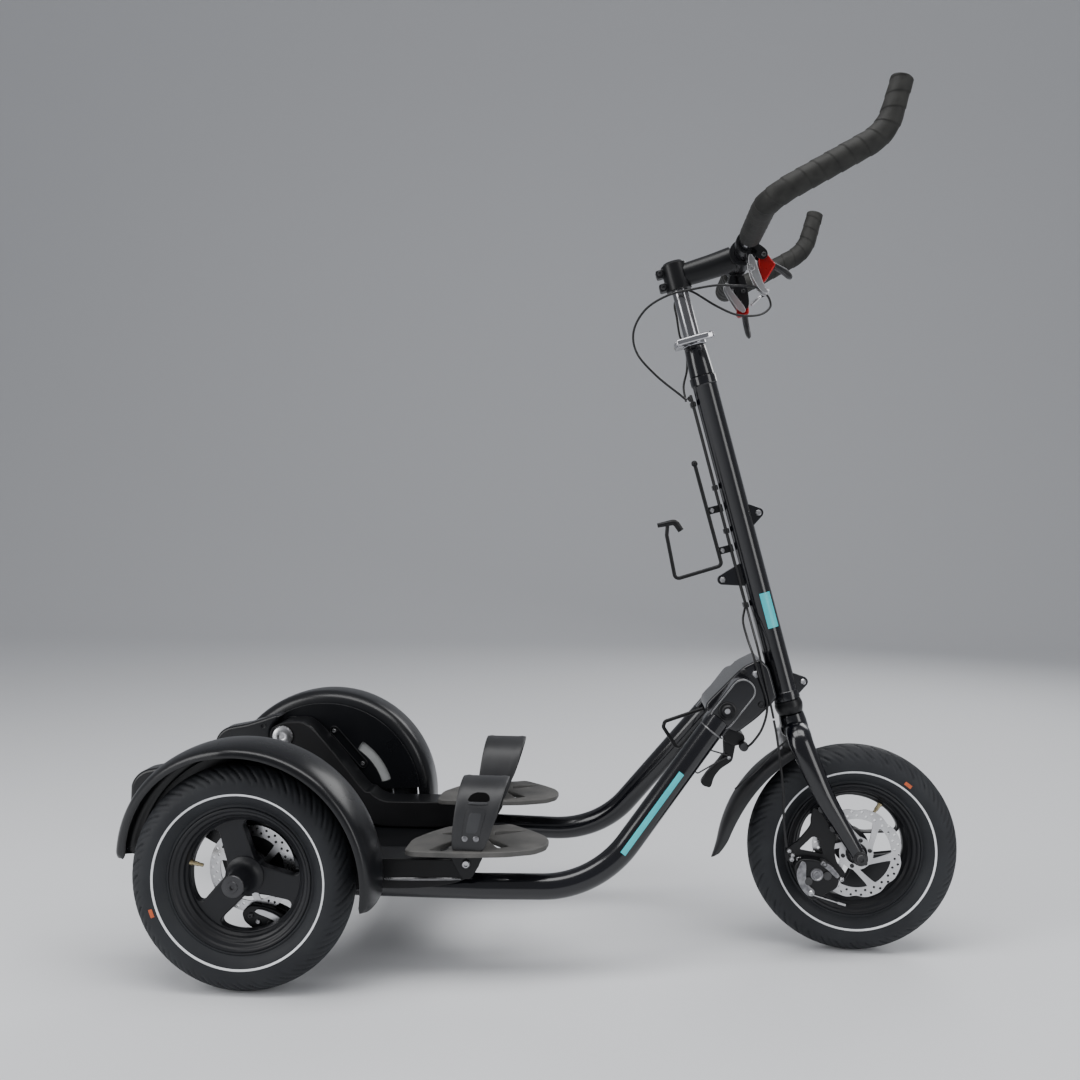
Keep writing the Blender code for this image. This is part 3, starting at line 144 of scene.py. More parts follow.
def skin(name, grid, wrap_rows=False, wrap_columns=False, close_ends=False, flip=False):
    """A mesh over a grid of points (rows, columns, 3): each cell is one quad. A wrapped direction
    joins its last line to its first, and close_ends puts a fan over the first and last row."""
    rows, columns = grid.shape[:2]
    index = np.arange(rows * columns).reshape(rows, columns)
    down = np.roll(index, -1, axis=0) if wrap_rows else index[1:]
    here = index if wrap_rows else index[:-1]
    if wrap_columns:
        faces = np.stack([here, np.roll(here, -1, axis=1), np.roll(down, -1, axis=1), down], axis=-1)
    else:
        faces = np.stack([here[:, :-1], here[:, 1:], down[:, 1:], down[:, :-1]], axis=-1)
    corners = faces.ravel()
    sizes = np.full(len(corners) // 4, 4)
    points = grid.reshape(-1, 3)
    if close_ends:
        first, last = len(points), len(points) + 1
        points = np.vstack([points, grid[0].mean(axis=0), grid[-1].mean(axis=0)])
        start = np.stack([np.full(columns, first), np.roll(index[0], -1), index[0]], axis=-1)
        end = np.stack([np.full(columns, last), index[-1], np.roll(index[-1], -1)], axis=-1)
        corners = np.concatenate([corners, start.ravel(), end.ravel()])
        sizes = np.concatenate([sizes, np.full(2 * columns, 3)])
    mesh = bpy.data.meshes.new(name)
    mesh.vertices.add(len(points))
    mesh.vertices.foreach_set("co", in_metres(points).astype(np.float32).ravel())
    mesh.loops.add(len(corners))
    mesh.loops.foreach_set("vertex_index", corners.astype(np.int32))
    mesh.polygons.add(len(sizes))
    mesh.polygons.foreach_set("loop_start", np.concatenate([[0], np.cumsum(sizes)[:-1]]).astype(np.int32))
    mesh.update(calc_edges=True)
    mesh.validate()
    if flip:
        mesh.flip_normals()
    mesh.shade_smooth()
    mesh.set_sharp_from_angle(angle=math.radians(40))
    piece = bpy.data.objects.new(name, mesh)
    bpy.context.scene.collection.objects.link(piece)
    return piece


def smooth_step(x):
    """0 below 0, 1 above 1, and an S-curve between."""
    x = np.clip(x, 0, 1)
    return x * x * (3 - 2 * x)


def whole_turn(steps):
    """Even angles all the way round."""
    return np.linspace(0, math.tau, steps, endpoint=False)


def variation_group():
    """Shader group: mixes two colours by cloudy noise, gives a roughness that wanders with it, and
    a fine height for the bump, all on object coordinates."""
    group = bpy.data.node_groups.new("surface_variation", "ShaderNodeTree")
    for way, names in (("INPUT", ("Colour", "Second Colour", "Cloud Scale", "Grain Scale", "Roughness",
                                  "Spread")),
                       ("OUTPUT", ("Colour", "Roughness", "Height"))):
        for name in names:
            kind = "NodeSocketColor" if "Colour" in name else "NodeSocketFloat"
            group.interface.new_socket(name=name, in_out=way, socket_type=kind)
    given, result = group.nodes.new("NodeGroupInput"), group.nodes.new("NodeGroupOutput")
    place = shader_node(group, "TexCoord")
    cloud, grain = shader_node(group, "TexNoise"), shader_node(group, "TexNoise")
    cloud.inputs["Detail"].default_value = 5
    grain.inputs["Detail"].default_value = 2
    mix = shader_node(group, "Mix", data_type="RGBA")
    ramp = shader_node(group, "MapRange")
    ramp.inputs["From Min"].default_value = 0.35
    ramp.inputs["From Max"].default_value = 0.65
    wander = shader_node(group, "Math", operation="MULTIPLY_ADD")
    shift = shader_node(group, "Math", operation="SUBTRACT")
    shift.inputs[1].default_value = 0.5
    join(group, (place, "Object", cloud, "Vector"), (place, "Object", grain, "Vector"),
         (given, "Cloud Scale", cloud, "Scale"), (given, "Grain Scale", grain, "Scale"),
         (cloud, "Fac", ramp, "Value"), (ramp, "Result", mix, "Factor"), (given, "Colour", mix, "A"),
         (given, "Second Colour", mix, "B"), (mix, "Result", result, "Colour"), (cloud, "Fac", shift, 0),
         (shift, 0, wander, 0), (given, "Spread", wander, 1), (given, "Roughness", wander, 2),
         (wander, 0, result, "Roughness"), (grain, "Fac", result, "Height"))
    return group


surface_variation = variation_group()


def finish(name, colour, second, roughness, metallic=0.0, spread=0.15, clouds=9.0, grain=900.0,
           bump=0.05, depth=0.0002, coat=0.0, shine=0.5):
    """A Principled finish whose colour, roughness and fine relief come from the variation group."""
    made = bpy.data.materials.new(name)
    made.use_nodes = True
    tree = made.node_tree
    shader = tree.nodes["Principled BSDF"]
    vary = shader_node(tree, "Group", node_tree=surface_variation, name="vary")
    relief = shader_node(tree, "Bump")
    for node, values in (
            (shader, {"Metallic": metallic, "Specular IOR Level": shine, "Coat Weight": coat,
                      "Coat Roughness": 0.06}),
            (vary, {"Colour": (*colour, 1), "Second Colour": (*second, 1), "Cloud Scale": clouds,
                    "Grain Scale": grain, "Roughness": roughness, "Spread": spread}),
            (relief, {"Strength": bump, "Distance": depth})):
        for key, value in values.items():
            node.inputs[key].default_value = value
    join(tree, (vary, "Colour", shader, "Base Color"), (vary, "Roughness", shader, "Roughness"),
         (vary, "Height", relief, "Height"), (relief, "Normal", shader, "Normal"))
    return made


def dress(piece, look, body, *stands_for, slot=None):
    """Give a new piece its finish and its body, and name the nodes it stands for. The slot is not used."""
    piece.data.materials.clear()
    piece.data.materials.append(look)
    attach(piece, body)
    if stands_for:
        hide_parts(*stands_for)
    return piece


tyre_look = finish("tyre_rubber_look", (0.013, 0.014, 0.017), (0.022, 0.024, 0.027), 0.60,
                   clouds=14, grain=1400, bump=0.20, shine=0.3)
band_look = finish("reflective_band_look", (0.86, 0.87, 0.89), (0.74, 0.75, 0.77), 0.35,
                   grain=2500, bump=0.2)


def tyre_surface(hub):
    """Round the wheel by angle, and over the tread by the angle on an ellipse; the grooves are a
    pulse in (turn + slant x distance from the middle) that fades in and out across the shoulder."""
    turn = whole_turn(660)[:, None]
    over = np.radians(np.linspace(-143, 143, 57))[None, :]
    side = np.abs(over)
    phase = (turn / math.tau * 40 + side * 1.25 + np.where(over > 0, 0.5, 0)) % 1
    slot = smooth_step((phase - 0.06) / 0.05) * smooth_step((0.24 - phase) / 0.05)
    reach = smooth_step((side - 0.16) / 0.12) * smooth_step((1.22 - side) / 0.16)
    sipe = smooth_step((phase - 0.60) / 0.05) * smooth_step((0.74 - phase) / 0.05)
    short = smooth_step((side - 0.55) / 0.1) * smooth_step((1.32 - side) / 0.1)
    middle_line = smooth_step((0.055 - np.abs(side - 0.075)) / 0.03)
    inward = 1.9 * slot * reach + 1.3 * sipe * short + middle_line
    radius = TYRE_MIDDLE + (TYRE_HALF_HEIGHT - inward) * np.cos(over)
    reach_y = (TYRE_HALF_WIDTH - inward) * np.sin(over)
    bead_radius = np.array([[101, 101.8, 103.5]]) + 0 * turn
    bead_y = np.array([[15, 17.2, 18.2]]) + 0 * turn
    radius = np.hstack([bead_radius, radius, bead_radius[:, ::-1]])
    reach_y = np.hstack([-bead_y, reach_y, bead_y[:, ::-1]])
    return hub + np.stack([radius * np.cos(turn), reach_y, radius * np.sin(turn)], axis=-1)


def on_sidewall(hub, side, turn, radii, lift):
    """A flat patch that lies on the tyre's sidewall ellipse, raised by a hair."""
    turn, radius = turn[:, None], radii[None, :]
    stand = TYRE_HALF_WIDTH * np.sqrt(1 - ((radius - TYRE_MIDDLE) / TYRE_HALF_HEIGHT) ** 2) + lift
    return hub + np.stack([radius * np.cos(turn), side * stand + 0 * turn, radius * np.sin(turn)], axis=-1)


for where, hub in hubs.items():
    tread = skin("tyre_tread_" + where, tyre_surface(hub), True, True, flip=True)
    dress(tread, tyre_look, wheel_body[where], wheel_body[where].replace("wheel", "tyre"))
    for number, side in enumerate((-1, 1)):
        grid = on_sidewall(hub, side, whole_turn(160), np.linspace(120.3, 123.2, 4), 0.35)
        band = skin("reflective_band_%s_%d" % (where, number), grid, True, flip=side < 0)
        dress(band, band_look, wheel_body[where])


# Wheels: one-piece moulded nylon wheels. A stepped rim carries the tyre, and three broad spokes run
# from its web to a hub with a nose on the outboard side. A brass valve stands inside each rim.
wheel_look = finish("wheel_nylon_look", (0.0070, 0.0074, 0.0092), (0.0105, 0.0110, 0.0135),
                    0.40, clouds=20, grain=2200, bump=0.12, shine=0.35)
brass_look = finish("brass_look", (0.52, 0.44, 0.27), (0.40, 0.33, 0.20), 0.35, metallic=1.0,
                    clouds=60)
orange_look = finish("orange_mark_look", (0.60, 0.12, 0.03), (0.46, 0.09, 0.03), 0.6,
                     clouds=120)


def softened(outline, share=0.25, passes=2):
    """Cut the corners of a closed outline by the given share, over and over, so that it becomes a curve."""
    points = np.array(outline, float)
    for _ in range(passes):
        following = np.roll(points, -1, axis=0)
        near, far = points * (1 - share) + following * share, points * share + following * (1 - share)
        points = np.stack([near, far], axis=1).reshape(-1, points.shape[1])
    return points


def on_circle(radius, turn, centre):
    """Points at the given angles of a flat circle."""
    return np.stack([centre[0] + radius * np.cos(turn), centre[1] + radius * np.sin(turn)], axis=-1)


def circle(radius, steps=32, centre=(0, 0)):
    """A whole flat circle."""
    return on_circle(radius, whole_turn(steps), centre)


def arc(radius, start, end, steps=16, centre=(0, 0)):
    """Part of a flat circle, between two angles in degrees."""
    return on_circle(radius, np.radians(np.linspace(start, end, steps)), centre)


def racetrack(start, end, radius, steps=12):
    """A round-ended outline between two centres."""
    heading = math.degrees(math.atan2(end[1] - start[1], end[0] - start[0]))
    return np.vstack([arc(radius, heading + 90, heading + 270, steps, start),
                      arc(radius, heading - 90, heading + 90, steps, end)])


def tidy(piece, merge=0.00001):
    """Weld the points that share a place, such as a pole, and turn all faces outward."""
    welded = bmesh.new()
    welded.from_mesh(piece.data)
    bmesh.ops.remove_doubles(welded, verts=welded.verts, dist=merge)
    bmesh.ops.recalc_face_normals(welded, faces=welded.faces)
    welded.to_mesh(piece.data)
    welded.free()
    piece.data.shade_smooth()
    piece.data.set_sharp_from_angle(angle=math.radians(38))
    return piece


def facing(x, y, z, side):
    """A place whose z axis points out to the given side (-1 right, 1 left), and whose x is forward."""
    return Matrix.Translation((x, y, z)) @ Matrix(((1, 0, 0), (0, 0, side), (0, -side, 0))).to_4x4()


def sheet(name, outlines, thickness, edge, steps, place, look, body, *stands_for, slot=None):
    """A flat piece cut out along closed outlines, holes included, with rounded edges. The place turns
    its own plane into the scooter's; a number stands for the side view at that distance to the left."""
    place = facing(0, place, 0, -1) if np.isscalar(place) else place.copy()
    place.translation = in_metres(place.translation)
    curve = bpy.data.curves.new(name, "CURVE")
    curve.dimensions = "2D"
    curve.fill_mode = "BOTH"
    curve.extrude = (thickness / 2 - edge) / 1000
    curve.bevel_depth = edge / 1000
    curve.bevel_resolution = steps
    curve.offset = -edge / 1000
    for outline in outlines:
        spline = curve.splines.new("POLY")
        spline.points.add(len(outline) - 1)
        flat = np.column_stack([np.array(outline) / 1000, np.zeros(len(outline)), np.ones(len(outline))])
        spline.points.foreach_set("co", flat.ravel())
        spline.use_cyclic_u = True
    carrier = bpy.data.objects.new(name + "_outline", curve)
    bpy.context.scene.collection.objects.link(carrier)
    mesh = bpy.data.meshes.new_from_object(carrier.evaluated_get(bpy.context.evaluated_depsgraph_get()))
    mesh.name = name
    bpy.data.objects.remove(carrier)
    bpy.data.curves.remove(curve)
    mesh.transform(place)
    if place.is_negative:
        mesh.flip_normals()
    piece = bpy.data.objects.new(name, mesh)
    bpy.context.scene.collection.objects.link(piece)
    tidy(piece, 0.000002)
    level_faces = piece.modifiers.new("level_faces", "WEIGHTED_NORMAL")
    level_faces.keep_sharp = True
    level_faces.weight = 100
    return dress(piece, look, body, *stands_for, slot=slot)


def carried(place, points):
    """Points through a 4 x 4 placing matrix."""
    matrix = np.array(place)
    return points @ matrix[:3, :3].T + matrix[:3, 3]


def spun(name, place, profile, look, body, *stands_for, steps=48, slot=None):
    """A (radius, height) outline spun about the z axis of its place: a solid where it starts and ends
    on the axis, and otherwise a closed ring."""
    radius, height = np.array(profile, float).T[:, None, :]
    turn = whole_turn(steps)[:, None]
    grid = carried(place, np.stack([radius * np.cos(turn), radius * np.sin(turn), height + 0 * turn],
                                   axis=-1))
    ring = radius[0, 0] > 0
    return dress(tidy(skin(name, grid, True, ring, flip=not ring)), look, body, *stands_for, slot=slot)


def bolt(name, place, radius, height, look, body, socket=0.5):
    """A domed screw head that stands up along z of its place, with a round socket in its crown."""
    hole = radius * socket
    profile = [(0, height - hole * 0.8), (hole, height - hole * 0.8), (hole, height - 0.1),
               (hole * 1.15, height), (radius * 0.72, height), (radius, height * 0.45), (radius, -0.4),
               (0, -0.4)]
    spun(name, place, profile, look, body, steps=24)


def wheel_window(middle):
    """The opening between two spokes: broad and round at the rim, drawn to a point at the hub."""
    half = [(0, 26.2), (20, 30), (34, 44), (42, 60), (46, 74), (40, 80), (22, 80), (0, 80)]
    spots = [(middle - a, r) for a, r in half] + [(middle + a, r) for a, r in half[-2:0:-1]]
    return softened([(r * math.cos(math.radians(a)), r * math.sin(math.radians(a))) for a, r in spots])


rim_outline = [(101.6, -18.4), (101.6, 17.2), (100.4, 18.7), (98.5, 18.7), (96.8, 17.5), (95.2, 15),
               (92.5, 14.2), (90.5, 13), (89, 10), (87.2, 8.6), (85, 7), (83.8, 3.5), (80, 0.2), (79.5, -4),
               (80, -15), (85, -18.4)]
hub_outlines = {
    "front": [(6.4, 34.4), (13.8, 34.4), (14.6, 33.6), (15, 25), (17.5, 10), (24, 3), (27.5, 0), (27.5, -17),
              (22.5, -19), (22.2, -34.4), (6.4, -34.4)],
    "rear": [(6.4, 40.8), (14.2, 40.8), (15, 40), (15.3, 36), (15.6, 18), (17.6, 8), (23, 2.6), (27.5, 0),
             (27.5, -17), (22.5, -19), (22.2, -31.3), (6.4, -31.3)]}
valve_outline = [(0, 19), (2, 19), (2.4, 18), (2.4, 12), (3.1, 11.8), (3.1, 3), (4, 2.8), (4, -0.5),
                 (0, -0.5)]
for where, hub in hubs.items():
    body = wheel_body[where]
    end, first_spoke, valve_at, mark_at = (("front", 5, 56, 53) if where == "front"
                                           else ("rear", 107, 168, 201))
    outboard = 1 if where == "rear_left" else -1
    middle = facing(*hub, outboard)
    spun("rim_" + where, middle, softened(rim_outline, passes=1), wheel_look, body, body, steps=96)
    spun("hub_barrel_" + where, middle, hub_outlines[end], wheel_look, body, steps=72)
    windows = [wheel_window(60 + 120 * k - outboard * first_spoke) for k in range(3)]
    sheet("spoke_web_" + where, [circle(83.5, 120), circle(12, 40)] + windows, 15, 2.2, 3,
          middle @ Matrix.Translation((0, 0, -9.2)), wheel_look, body)
    outward = Vector((math.cos(math.radians(valve_at)), 0, math.sin(math.radians(valve_at))))
    foot = Matrix.Translation(Vector(hub) + outward * 80 + Vector((0, -outboard * 2, 0)))
    spun("valve_" + where, foot @ (-outward).to_track_quat("Z", "Y").to_matrix().to_4x4(), valve_outline,
         brass_look, body, steps=24)
    mark_turn = np.radians(np.linspace(mark_at - 2.6, mark_at + 2.6, 12))
    mark = on_sidewall(hub, outboard, mark_turn, np.linspace(127.5, 133, 5), 0.25)
    dress(skin("orange_mark_" + where, mark, flip=outboard < 0), orange_look, body)


# Brake discs: thin polished steel rings on slanted arms, drilled in two rows. The front one has a
# wavy edge, and each is fixed to its hub by six small screws.
disc_look = finish("disc_look", (0.60, 0.60, 0.61), (0.50, 0.50, 0.51), 0.28, metallic=1.0,
                   clouds=30, grain=2600, bump=0.05)
screw_look = finish("dark_screw_look", (0.035, 0.035, 0.037), (0.06, 0.06, 0.062), 0.35,
                    metallic=0.6, clouds=80)


def stamped(name, outlines, thickness, place):
    """A flat stamped piece with many holes: triangles between the outlines, kept where an odd number
    of outlines goes round the triangle's middle, on both faces, with walls along the free edges."""
    starts = np.cumsum([0] + [len(outline) for outline in outlines])
    rims = np.vstack([np.stack([np.arange(first, last), np.roll(np.arange(first, last), -1)], axis=-1)
                      for first, last in zip(starts[:-1], starts[1:])])
    flat = np.vstack(outlines) / 1000
    filled = delaunay_2d_cdt([Vector(spot) for spot in flat], rims.tolist(), [], 0, 1e-8)
    spots, faces = np.array([tuple(spot) for spot in filled[0]]), np.array(filled[2])
    middle = spots[faces].mean(axis=1)[:, None, :]
    start, end = flat[rims[:, 0]][None], flat[rims[:, 1]][None]
    spans = (start[..., 1] > middle[..., 1]) != (end[..., 1] > middle[..., 1])
    rise = np.where(end[..., 1] == start[..., 1], 1, end[..., 1] - start[..., 1])
    crossing = start[..., 0] + (middle[..., 1] - start[..., 1]) / rise * (end[..., 0] - start[..., 0])
    faces = faces[(spans & (middle[..., 0] < crossing)).sum(axis=1) % 2 == 1]
    edges = np.vstack([faces[:, [0, 1]], faces[:, [1, 2]], faces[:, [2, 0]]])
    total = len(spots)
    free = edges[~np.isin(edges[:, 0] * total + edges[:, 1], edges[:, 1] * total + edges[:, 0])]
    walls = np.stack([free[:, 0], free[:, 0] + total, free[:, 1] + total, free[:, 1]], axis=-1)
    points = np.vstack([np.column_stack([spots * 1000, np.full(total, lift)])
                        for lift in (thickness / 2, -thickness / 2)])
    mesh = bpy.data.meshes.new(name)
    mesh.from_pydata(in_metres(carried(place, points)), [],
                     faces.tolist() + (faces[:, ::-1] + total).tolist() + walls.tolist())
    piece = bpy.data.objects.new(name, mesh)
    bpy.context.scene.collection.objects.link(piece)
    return tidy(piece)


def disc_outlines(radius, wave, sweep):
    """The disc's edge (with waves), its bore, the gaps between its six arms, and its holes."""
    turn = whole_turn(240)
    outlines = [on_circle(radius - wave * (0.5 + 0.5 * np.cos(turn * 8)) ** 3, turn, (0, 0)),
                circle(16.5, 40)]
    for middle in range(0, 360, 60):
        gap = np.vstack([arc(radius - 16, middle + sweep - 24, middle + sweep + 24, 10),
                         arc(25.5, middle + 19, middle - 19, 6)])
        outlines.append(softened(gap, 0.2))
    for row, depth in enumerate((4.6, 10.8)):
        for at in math.tau * (np.arange(26) + 0.5 * row) / 26:
            outlines.append(circle(2, 10, ((radius - depth) * math.cos(at), (radius - depth) * math.sin(at))))
    return outlines


for where, radius, wave, sweep, offset in (("front", 68.5, 3.5, 26, -35.8), ("rear_right", 63, 0, 10, 32.7),
                                           ("rear_left", 63, 0, 10, -32.7)):
    x, y, z = hubs[where] + (0, offset, 0)
    body = wheel_body[where]
    disc = stamped("brake_disc_" + where, disc_outlines(radius, wave, sweep), 1.8, facing(x, y, z, -1))
    dress(disc, disc_look, body, body.replace("wheel", "rotor"))
    face = -1 if where != "rear_left" else 1
    for k in range(6):
        at = math.radians(60 * k + 12)
        seat = facing(x + 20.5 * math.cos(at), y + face * 0.9, z + 20.5 * math.sin(at), face)
        bolt("disc_screw_%s_%d" % (where, k), seat, 3.2, 2, screw_look, body)


# Frame: two steel tubes run low along the scooter, bend up and close in, and end in forged ears that
# hold the fold bolt. They are painted gloss black over a deep navy ground.
gloss_look = finish("gloss_paint_look", (0.0018, 0.0020, 0.0036), (0.0030, 0.0034, 0.0058),
                    0.19, spread=0.04, clouds=7, grain=420, bump=0.008, coat=0.3, shine=0.5)
satin_look = finish("satin_paint_look", (0.0042, 0.0044, 0.0052), (0.0068, 0.0070, 0.0080),
                    0.34, spread=0.10, clouds=16, grain=1500, bump=0.05, shine=0.30)
steel_look = finish("bright_steel_look", (0.58, 0.58, 0.59), (0.48, 0.48, 0.49), 0.30,
                    metallic=1.0, clouds=40, grain=1800, bump=0.05)
# Metallic grey for the raised ear borders, the weld seams and the arm creases: a painted highlight on black
# paint, standing for the bright line these edges catch.
edge_highlight_look = finish("edge_highlight_paint_look", (0.16, 0.16, 0.165), (0.24, 0.24, 0.245), 0.30,
                     metallic=0.9, clouds=60)
FRAME_TUBE_RADIUS = 18.5
FOLD_X, FOLD_Z = 688, 380
EAR_SLOPE = math.radians(52.5)


def bent(points, radii, steps=14):
    """Straight runs joined by arcs: each inner corner gets an arc of its radius, as much as fits."""
    points = np.array(points, float)
    route = [points[:1]]
    for before, corner, after, radius in zip(points, points[1:], points[2:], radii):
        into = (before - corner) / np.linalg.norm(before - corner)
        out = (after - corner) / np.linalg.norm(after - corner)
        half = math.acos(np.clip(into @ out, -1, 1)) / 2
        room = 0.48 * min(np.linalg.norm(before - corner), np.linalg.norm(after - corner))
        reach = min(radius / math.tan(half), room)
        middle = corner + (into + out) / np.linalg.norm(into + out) * (reach / math.cos(half))
        first, last = corner + into * reach - middle, corner + out * reach - middle
        sweep = math.pi - 2 * half
        share = np.linspace(0, 1, steps)[:, None]
        swing = (first * np.sin((1 - share) * sweep) + last * np.sin(share * sweep)) / math.sin(sweep)
        route.append(middle + swing)
    return np.vstack(route + [points[-1:]])


def through(points, per_span=8):
    """A smooth curve through given points (Catmull-Rom), as closer points."""
    points = np.array(points, float)
    ends = np.vstack([2 * points[0] - points[1], points, 2 * points[-1] - points[-2]])
    t = (np.arange(per_span) / per_span)[None, :, None]
    a, b, c, d = (ends[k:len(ends) - 3 + k, None, :] for k in range(4))
    route = 0.5 * (2 * b + (c - a) * t + (2 * a - 5 * b + 4 * c - d) * t ** 2
                   + (3 * b - 3 * c + d - a) * t ** 3)
    return np.vstack([route.reshape(-1, points.shape[1]), points[-1:]])


def around(route, radius, turn, start_side=(0, 1, 0), flatten=1):
    """Points round a route, at the given radii and angles across it. The angles start from the
    direction that keeps as near the start side as it can."""
    ahead = np.gradient(route, axis=0)
    ahead /= np.linalg.norm(ahead, axis=1)[:, None]
    sides = [np.array(start_side, float)]
    for direction in ahead:
        side = sides[-1] - direction * (sides[-1] @ direction)
        sides.append(side / np.linalg.norm(side))
    across_side = np.array(sides[1:])
    across_up = np.cross(ahead, across_side)
    turn = turn[..., None]
    return route[:, None, :] + radius[..., None] * (np.cos(turn) * across_side[:, None, :] * flatten
                                                    + np.sin(turn) * across_up[:, None, :])


def swept(name, grid, look, body, *stands_for, slot=None, ends=True, merge=0.00001):
    """A solid whose closed sections are the rows of a grid."""
    piece = tidy(skin(name, grid, wrap_columns=True, close_ends=ends), merge)
    return dress(piece, look, body, *stands_for, slot=slot)


def tube(name, route, radius, sides, look, body, *stands_for, slot=None, flatten=1, start_side=(0, 1, 0)):
    """A closed round bar along a route; radius is one value or one for each point."""
    route = np.array(route, float)
    radius = (np.zeros(len(route)) + radius)[:, None]
    grid = around(route, radius, whole_turn(sides)[None, :], start_side, flatten)
    return swept(name, grid, look, body, *stands_for, slot=slot)


def ear_point(along, across=0):
    """A place on the folding ears in the side view, measured from the fold bolt along their slope."""
    c, s = math.cos(EAR_SLOPE), math.sin(EAR_SLOPE)
    return FOLD_X + along * c - across * s, FOLD_Z + along * s + across * c


fold_head = [(0, 74.2), (4, 74.2), (4.6, 79.5), (5, 80.6), (8, 80.8), (9.6, 79.6), (10.4, 78), (12.8, 77.6),
             (13.6, 76.8), (13.6, 75.9), (8.3, 75.5), (0, 75.5)]
ear_ends = ear_point(-11), ear_point(38)
for name, side in SIDES:
    route = bent([(12.4, side * 150, 131.5), (330, side * 150, 131.5), (494, side * 139, 131.5),
                  (675, side * 64.2, 365)],
                 [190, 190], 20)
    tube("rail_tube_" + name, route, FRAME_TUBE_RADIUS, 40, gloss_look, "frame", "frame_rail_" + name)
    outline = np.vstack([[ear_point(-35, -19)], arc(19.5, 52.5 - 90, 52.5 + 90, 24, ear_point(38)),
                         [ear_point(-35, 19)]])
    sheet("hinge_ear_" + name, [outline], 28.5, 3, 4, side * 59.85, gloss_look, "frame")
    # The raised border round each ear is painted metallic grey as its highlight.
    sheet("ear_border_" + name, [racetrack(*ear_ends, 18.6, 24), racetrack(*ear_ends, 16, 24)], 3, 1.2, 3,
          side * 74.2, edge_highlight_look, "frame")
    # The weld seam where the ear meets the tube is painted metallic grey as its highlight.
    wrap = np.radians(np.linspace(-78, 78, 20))
    x, z = ear_point(-37.5, (FRAME_TUBE_RADIUS + 0.4) * np.sin(wrap))
    seam = np.column_stack([x, side * (69 + (FRAME_TUBE_RADIUS + 0.4) * np.cos(wrap)), z])
    tube("ear_weld_" + name, seam, 1.3, 12, edge_highlight_look, "frame")
for name, side in SIDES:
    spun("fold_bolt_head_" + name, facing(FOLD_X, 0, FOLD_Z, side), fold_head, satin_look, "frame",
         slot="bare_steel")
tube("fold_bolt_shank", np.linspace((FOLD_X, -75.7, FOLD_Z), (FOLD_X, 75.7, FOLD_Z), 8), 8.2, 24, steel_look,
     "frame", "fold_bolt", start_side=(1, 0, 0))


# Fenders: moulded shells of satin black plastic over the rear wheels, crowned and rolled at the lip,
# with a flat inner panel. The panel has a curved slot closed by a pale plate, and a screwed-on rail.
fender_look = finish("fender_plastic_look", (0.0032, 0.0035, 0.0046),
                     (0.0056, 0.0060, 0.0075), 0.28, spread=0.08, clouds=8, grain=1300, bump=0.04, shine=0.42)
pale_look = finish("pale_insert_look", (0.33, 0.34, 0.34), (0.40, 0.41, 0.41), 0.5,
                   clouds=30)


def shell_sections(corners, along):
    """Softened closed sections of a shell, from corners (reach, radius) that are each one value or
    one for every place along it: an array of (corners, 2, places)."""
    section = np.array([[reach + 0 * along, radius + 0 * along] for reach, radius in corners])
    return softened(section.reshape(len(corners), -1)).reshape(-1, 2, len(along))


def round_wheel(hub, section, degrees):
    """Sections of (reach, radius) set round a wheel at their angles."""
    reach, radius = section[:, 0, :].T, section[:, 1, :].T
    angle = np.radians(degrees)
    return hub + np.stack([radius * np.cos(angle), reach, radius * np.sin(angle)], axis=-1)


def fender_grid(side):
    """The shell as closed thin sections every degree or so: the lip narrows past 95 degrees, and the
    wall closes to nothing at both ends."""
    degrees = np.linspace(-9, 175, 170)
    lip = 271 - 56 * np.clip((degrees - 95) / 80, 0, 1) ** 1.2
    span = lip - 200
    section = shell_sections([
        (lip, 177.5), (lip - 0.8, 186.5), (lip - 12 * span / 71, 191.5), (200 + span * 0.5, 195.2),
        (203, 195), (194, 191.5), (186.2, 184), (184.2, 170), (187, 170), (188.6, 182.4), (195, 189),
        (203.5, 192.2), (200 + span * 0.5, 192.4), (lip - 14 * span / 71, 188.8), (lip - 3.3, 184.5),
        (lip - 2.8, 177.5)], degrees)
    number = np.arange(len(degrees))
    end = np.clip(np.minimum(number, number[::-1]) / 2, 0, 1)
    middle = (section + section[::-1]) / 2
    section = middle + (section - middle) * np.sqrt(end)
    section[:, 0] *= side
    return round_wheel((0, 0, WHEEL_HEIGHT), section, degrees[:, None])


for name, side in SIDES:
    swept("fender_shell_" + name, fender_grid(side), fender_look, "frame", "fender_" + name, ends=False)
    outline = softened(np.vstack([arc(173.5, 8, 150, 60), arc(50, 150, 22, 20)]), 0.2, 1)
    slot = softened(np.vstack([arc(125, 18, 58, 20), arc(108, 58, 18, 20)]))
    sheet("fender_panel_" + name, [outline, slot, circle(18, 40)], 3, 0.8, 2,
          facing(0, side * 183.75, WHEEL_HEIGHT, -1), fender_look, "frame")
    insert = softened(np.vstack([arc(127.5, 16.6, 59.4, 20), arc(105.5, 59.4, 16.6, 20)]))
    sheet("slot_plate_" + name, [insert], 1.2, 0.3, 1, facing(0, side * 186.15, WHEEL_HEIGHT, -1), pale_look,
          "frame")
    low, high = (14.6, 124), (67.5, 66)
    sheet("fender_guide_" + name, [racetrack(low, high, 8.8, 20), racetrack(low, high, 6.2, 20)], 3, 0.9, 3,
          facing(0, side * 181.7, WHEEL_HEIGHT, -1), satin_look, "frame", slot="fender_plastic")
    for k, (x, z) in enumerate((low, high)):
        bolt("guide_screw_%s_%d" % (name, k), facing(x, side * 182.2, WHEEL_HEIGHT + z, -side), 4.2, 3,
             steel_look, "frame")


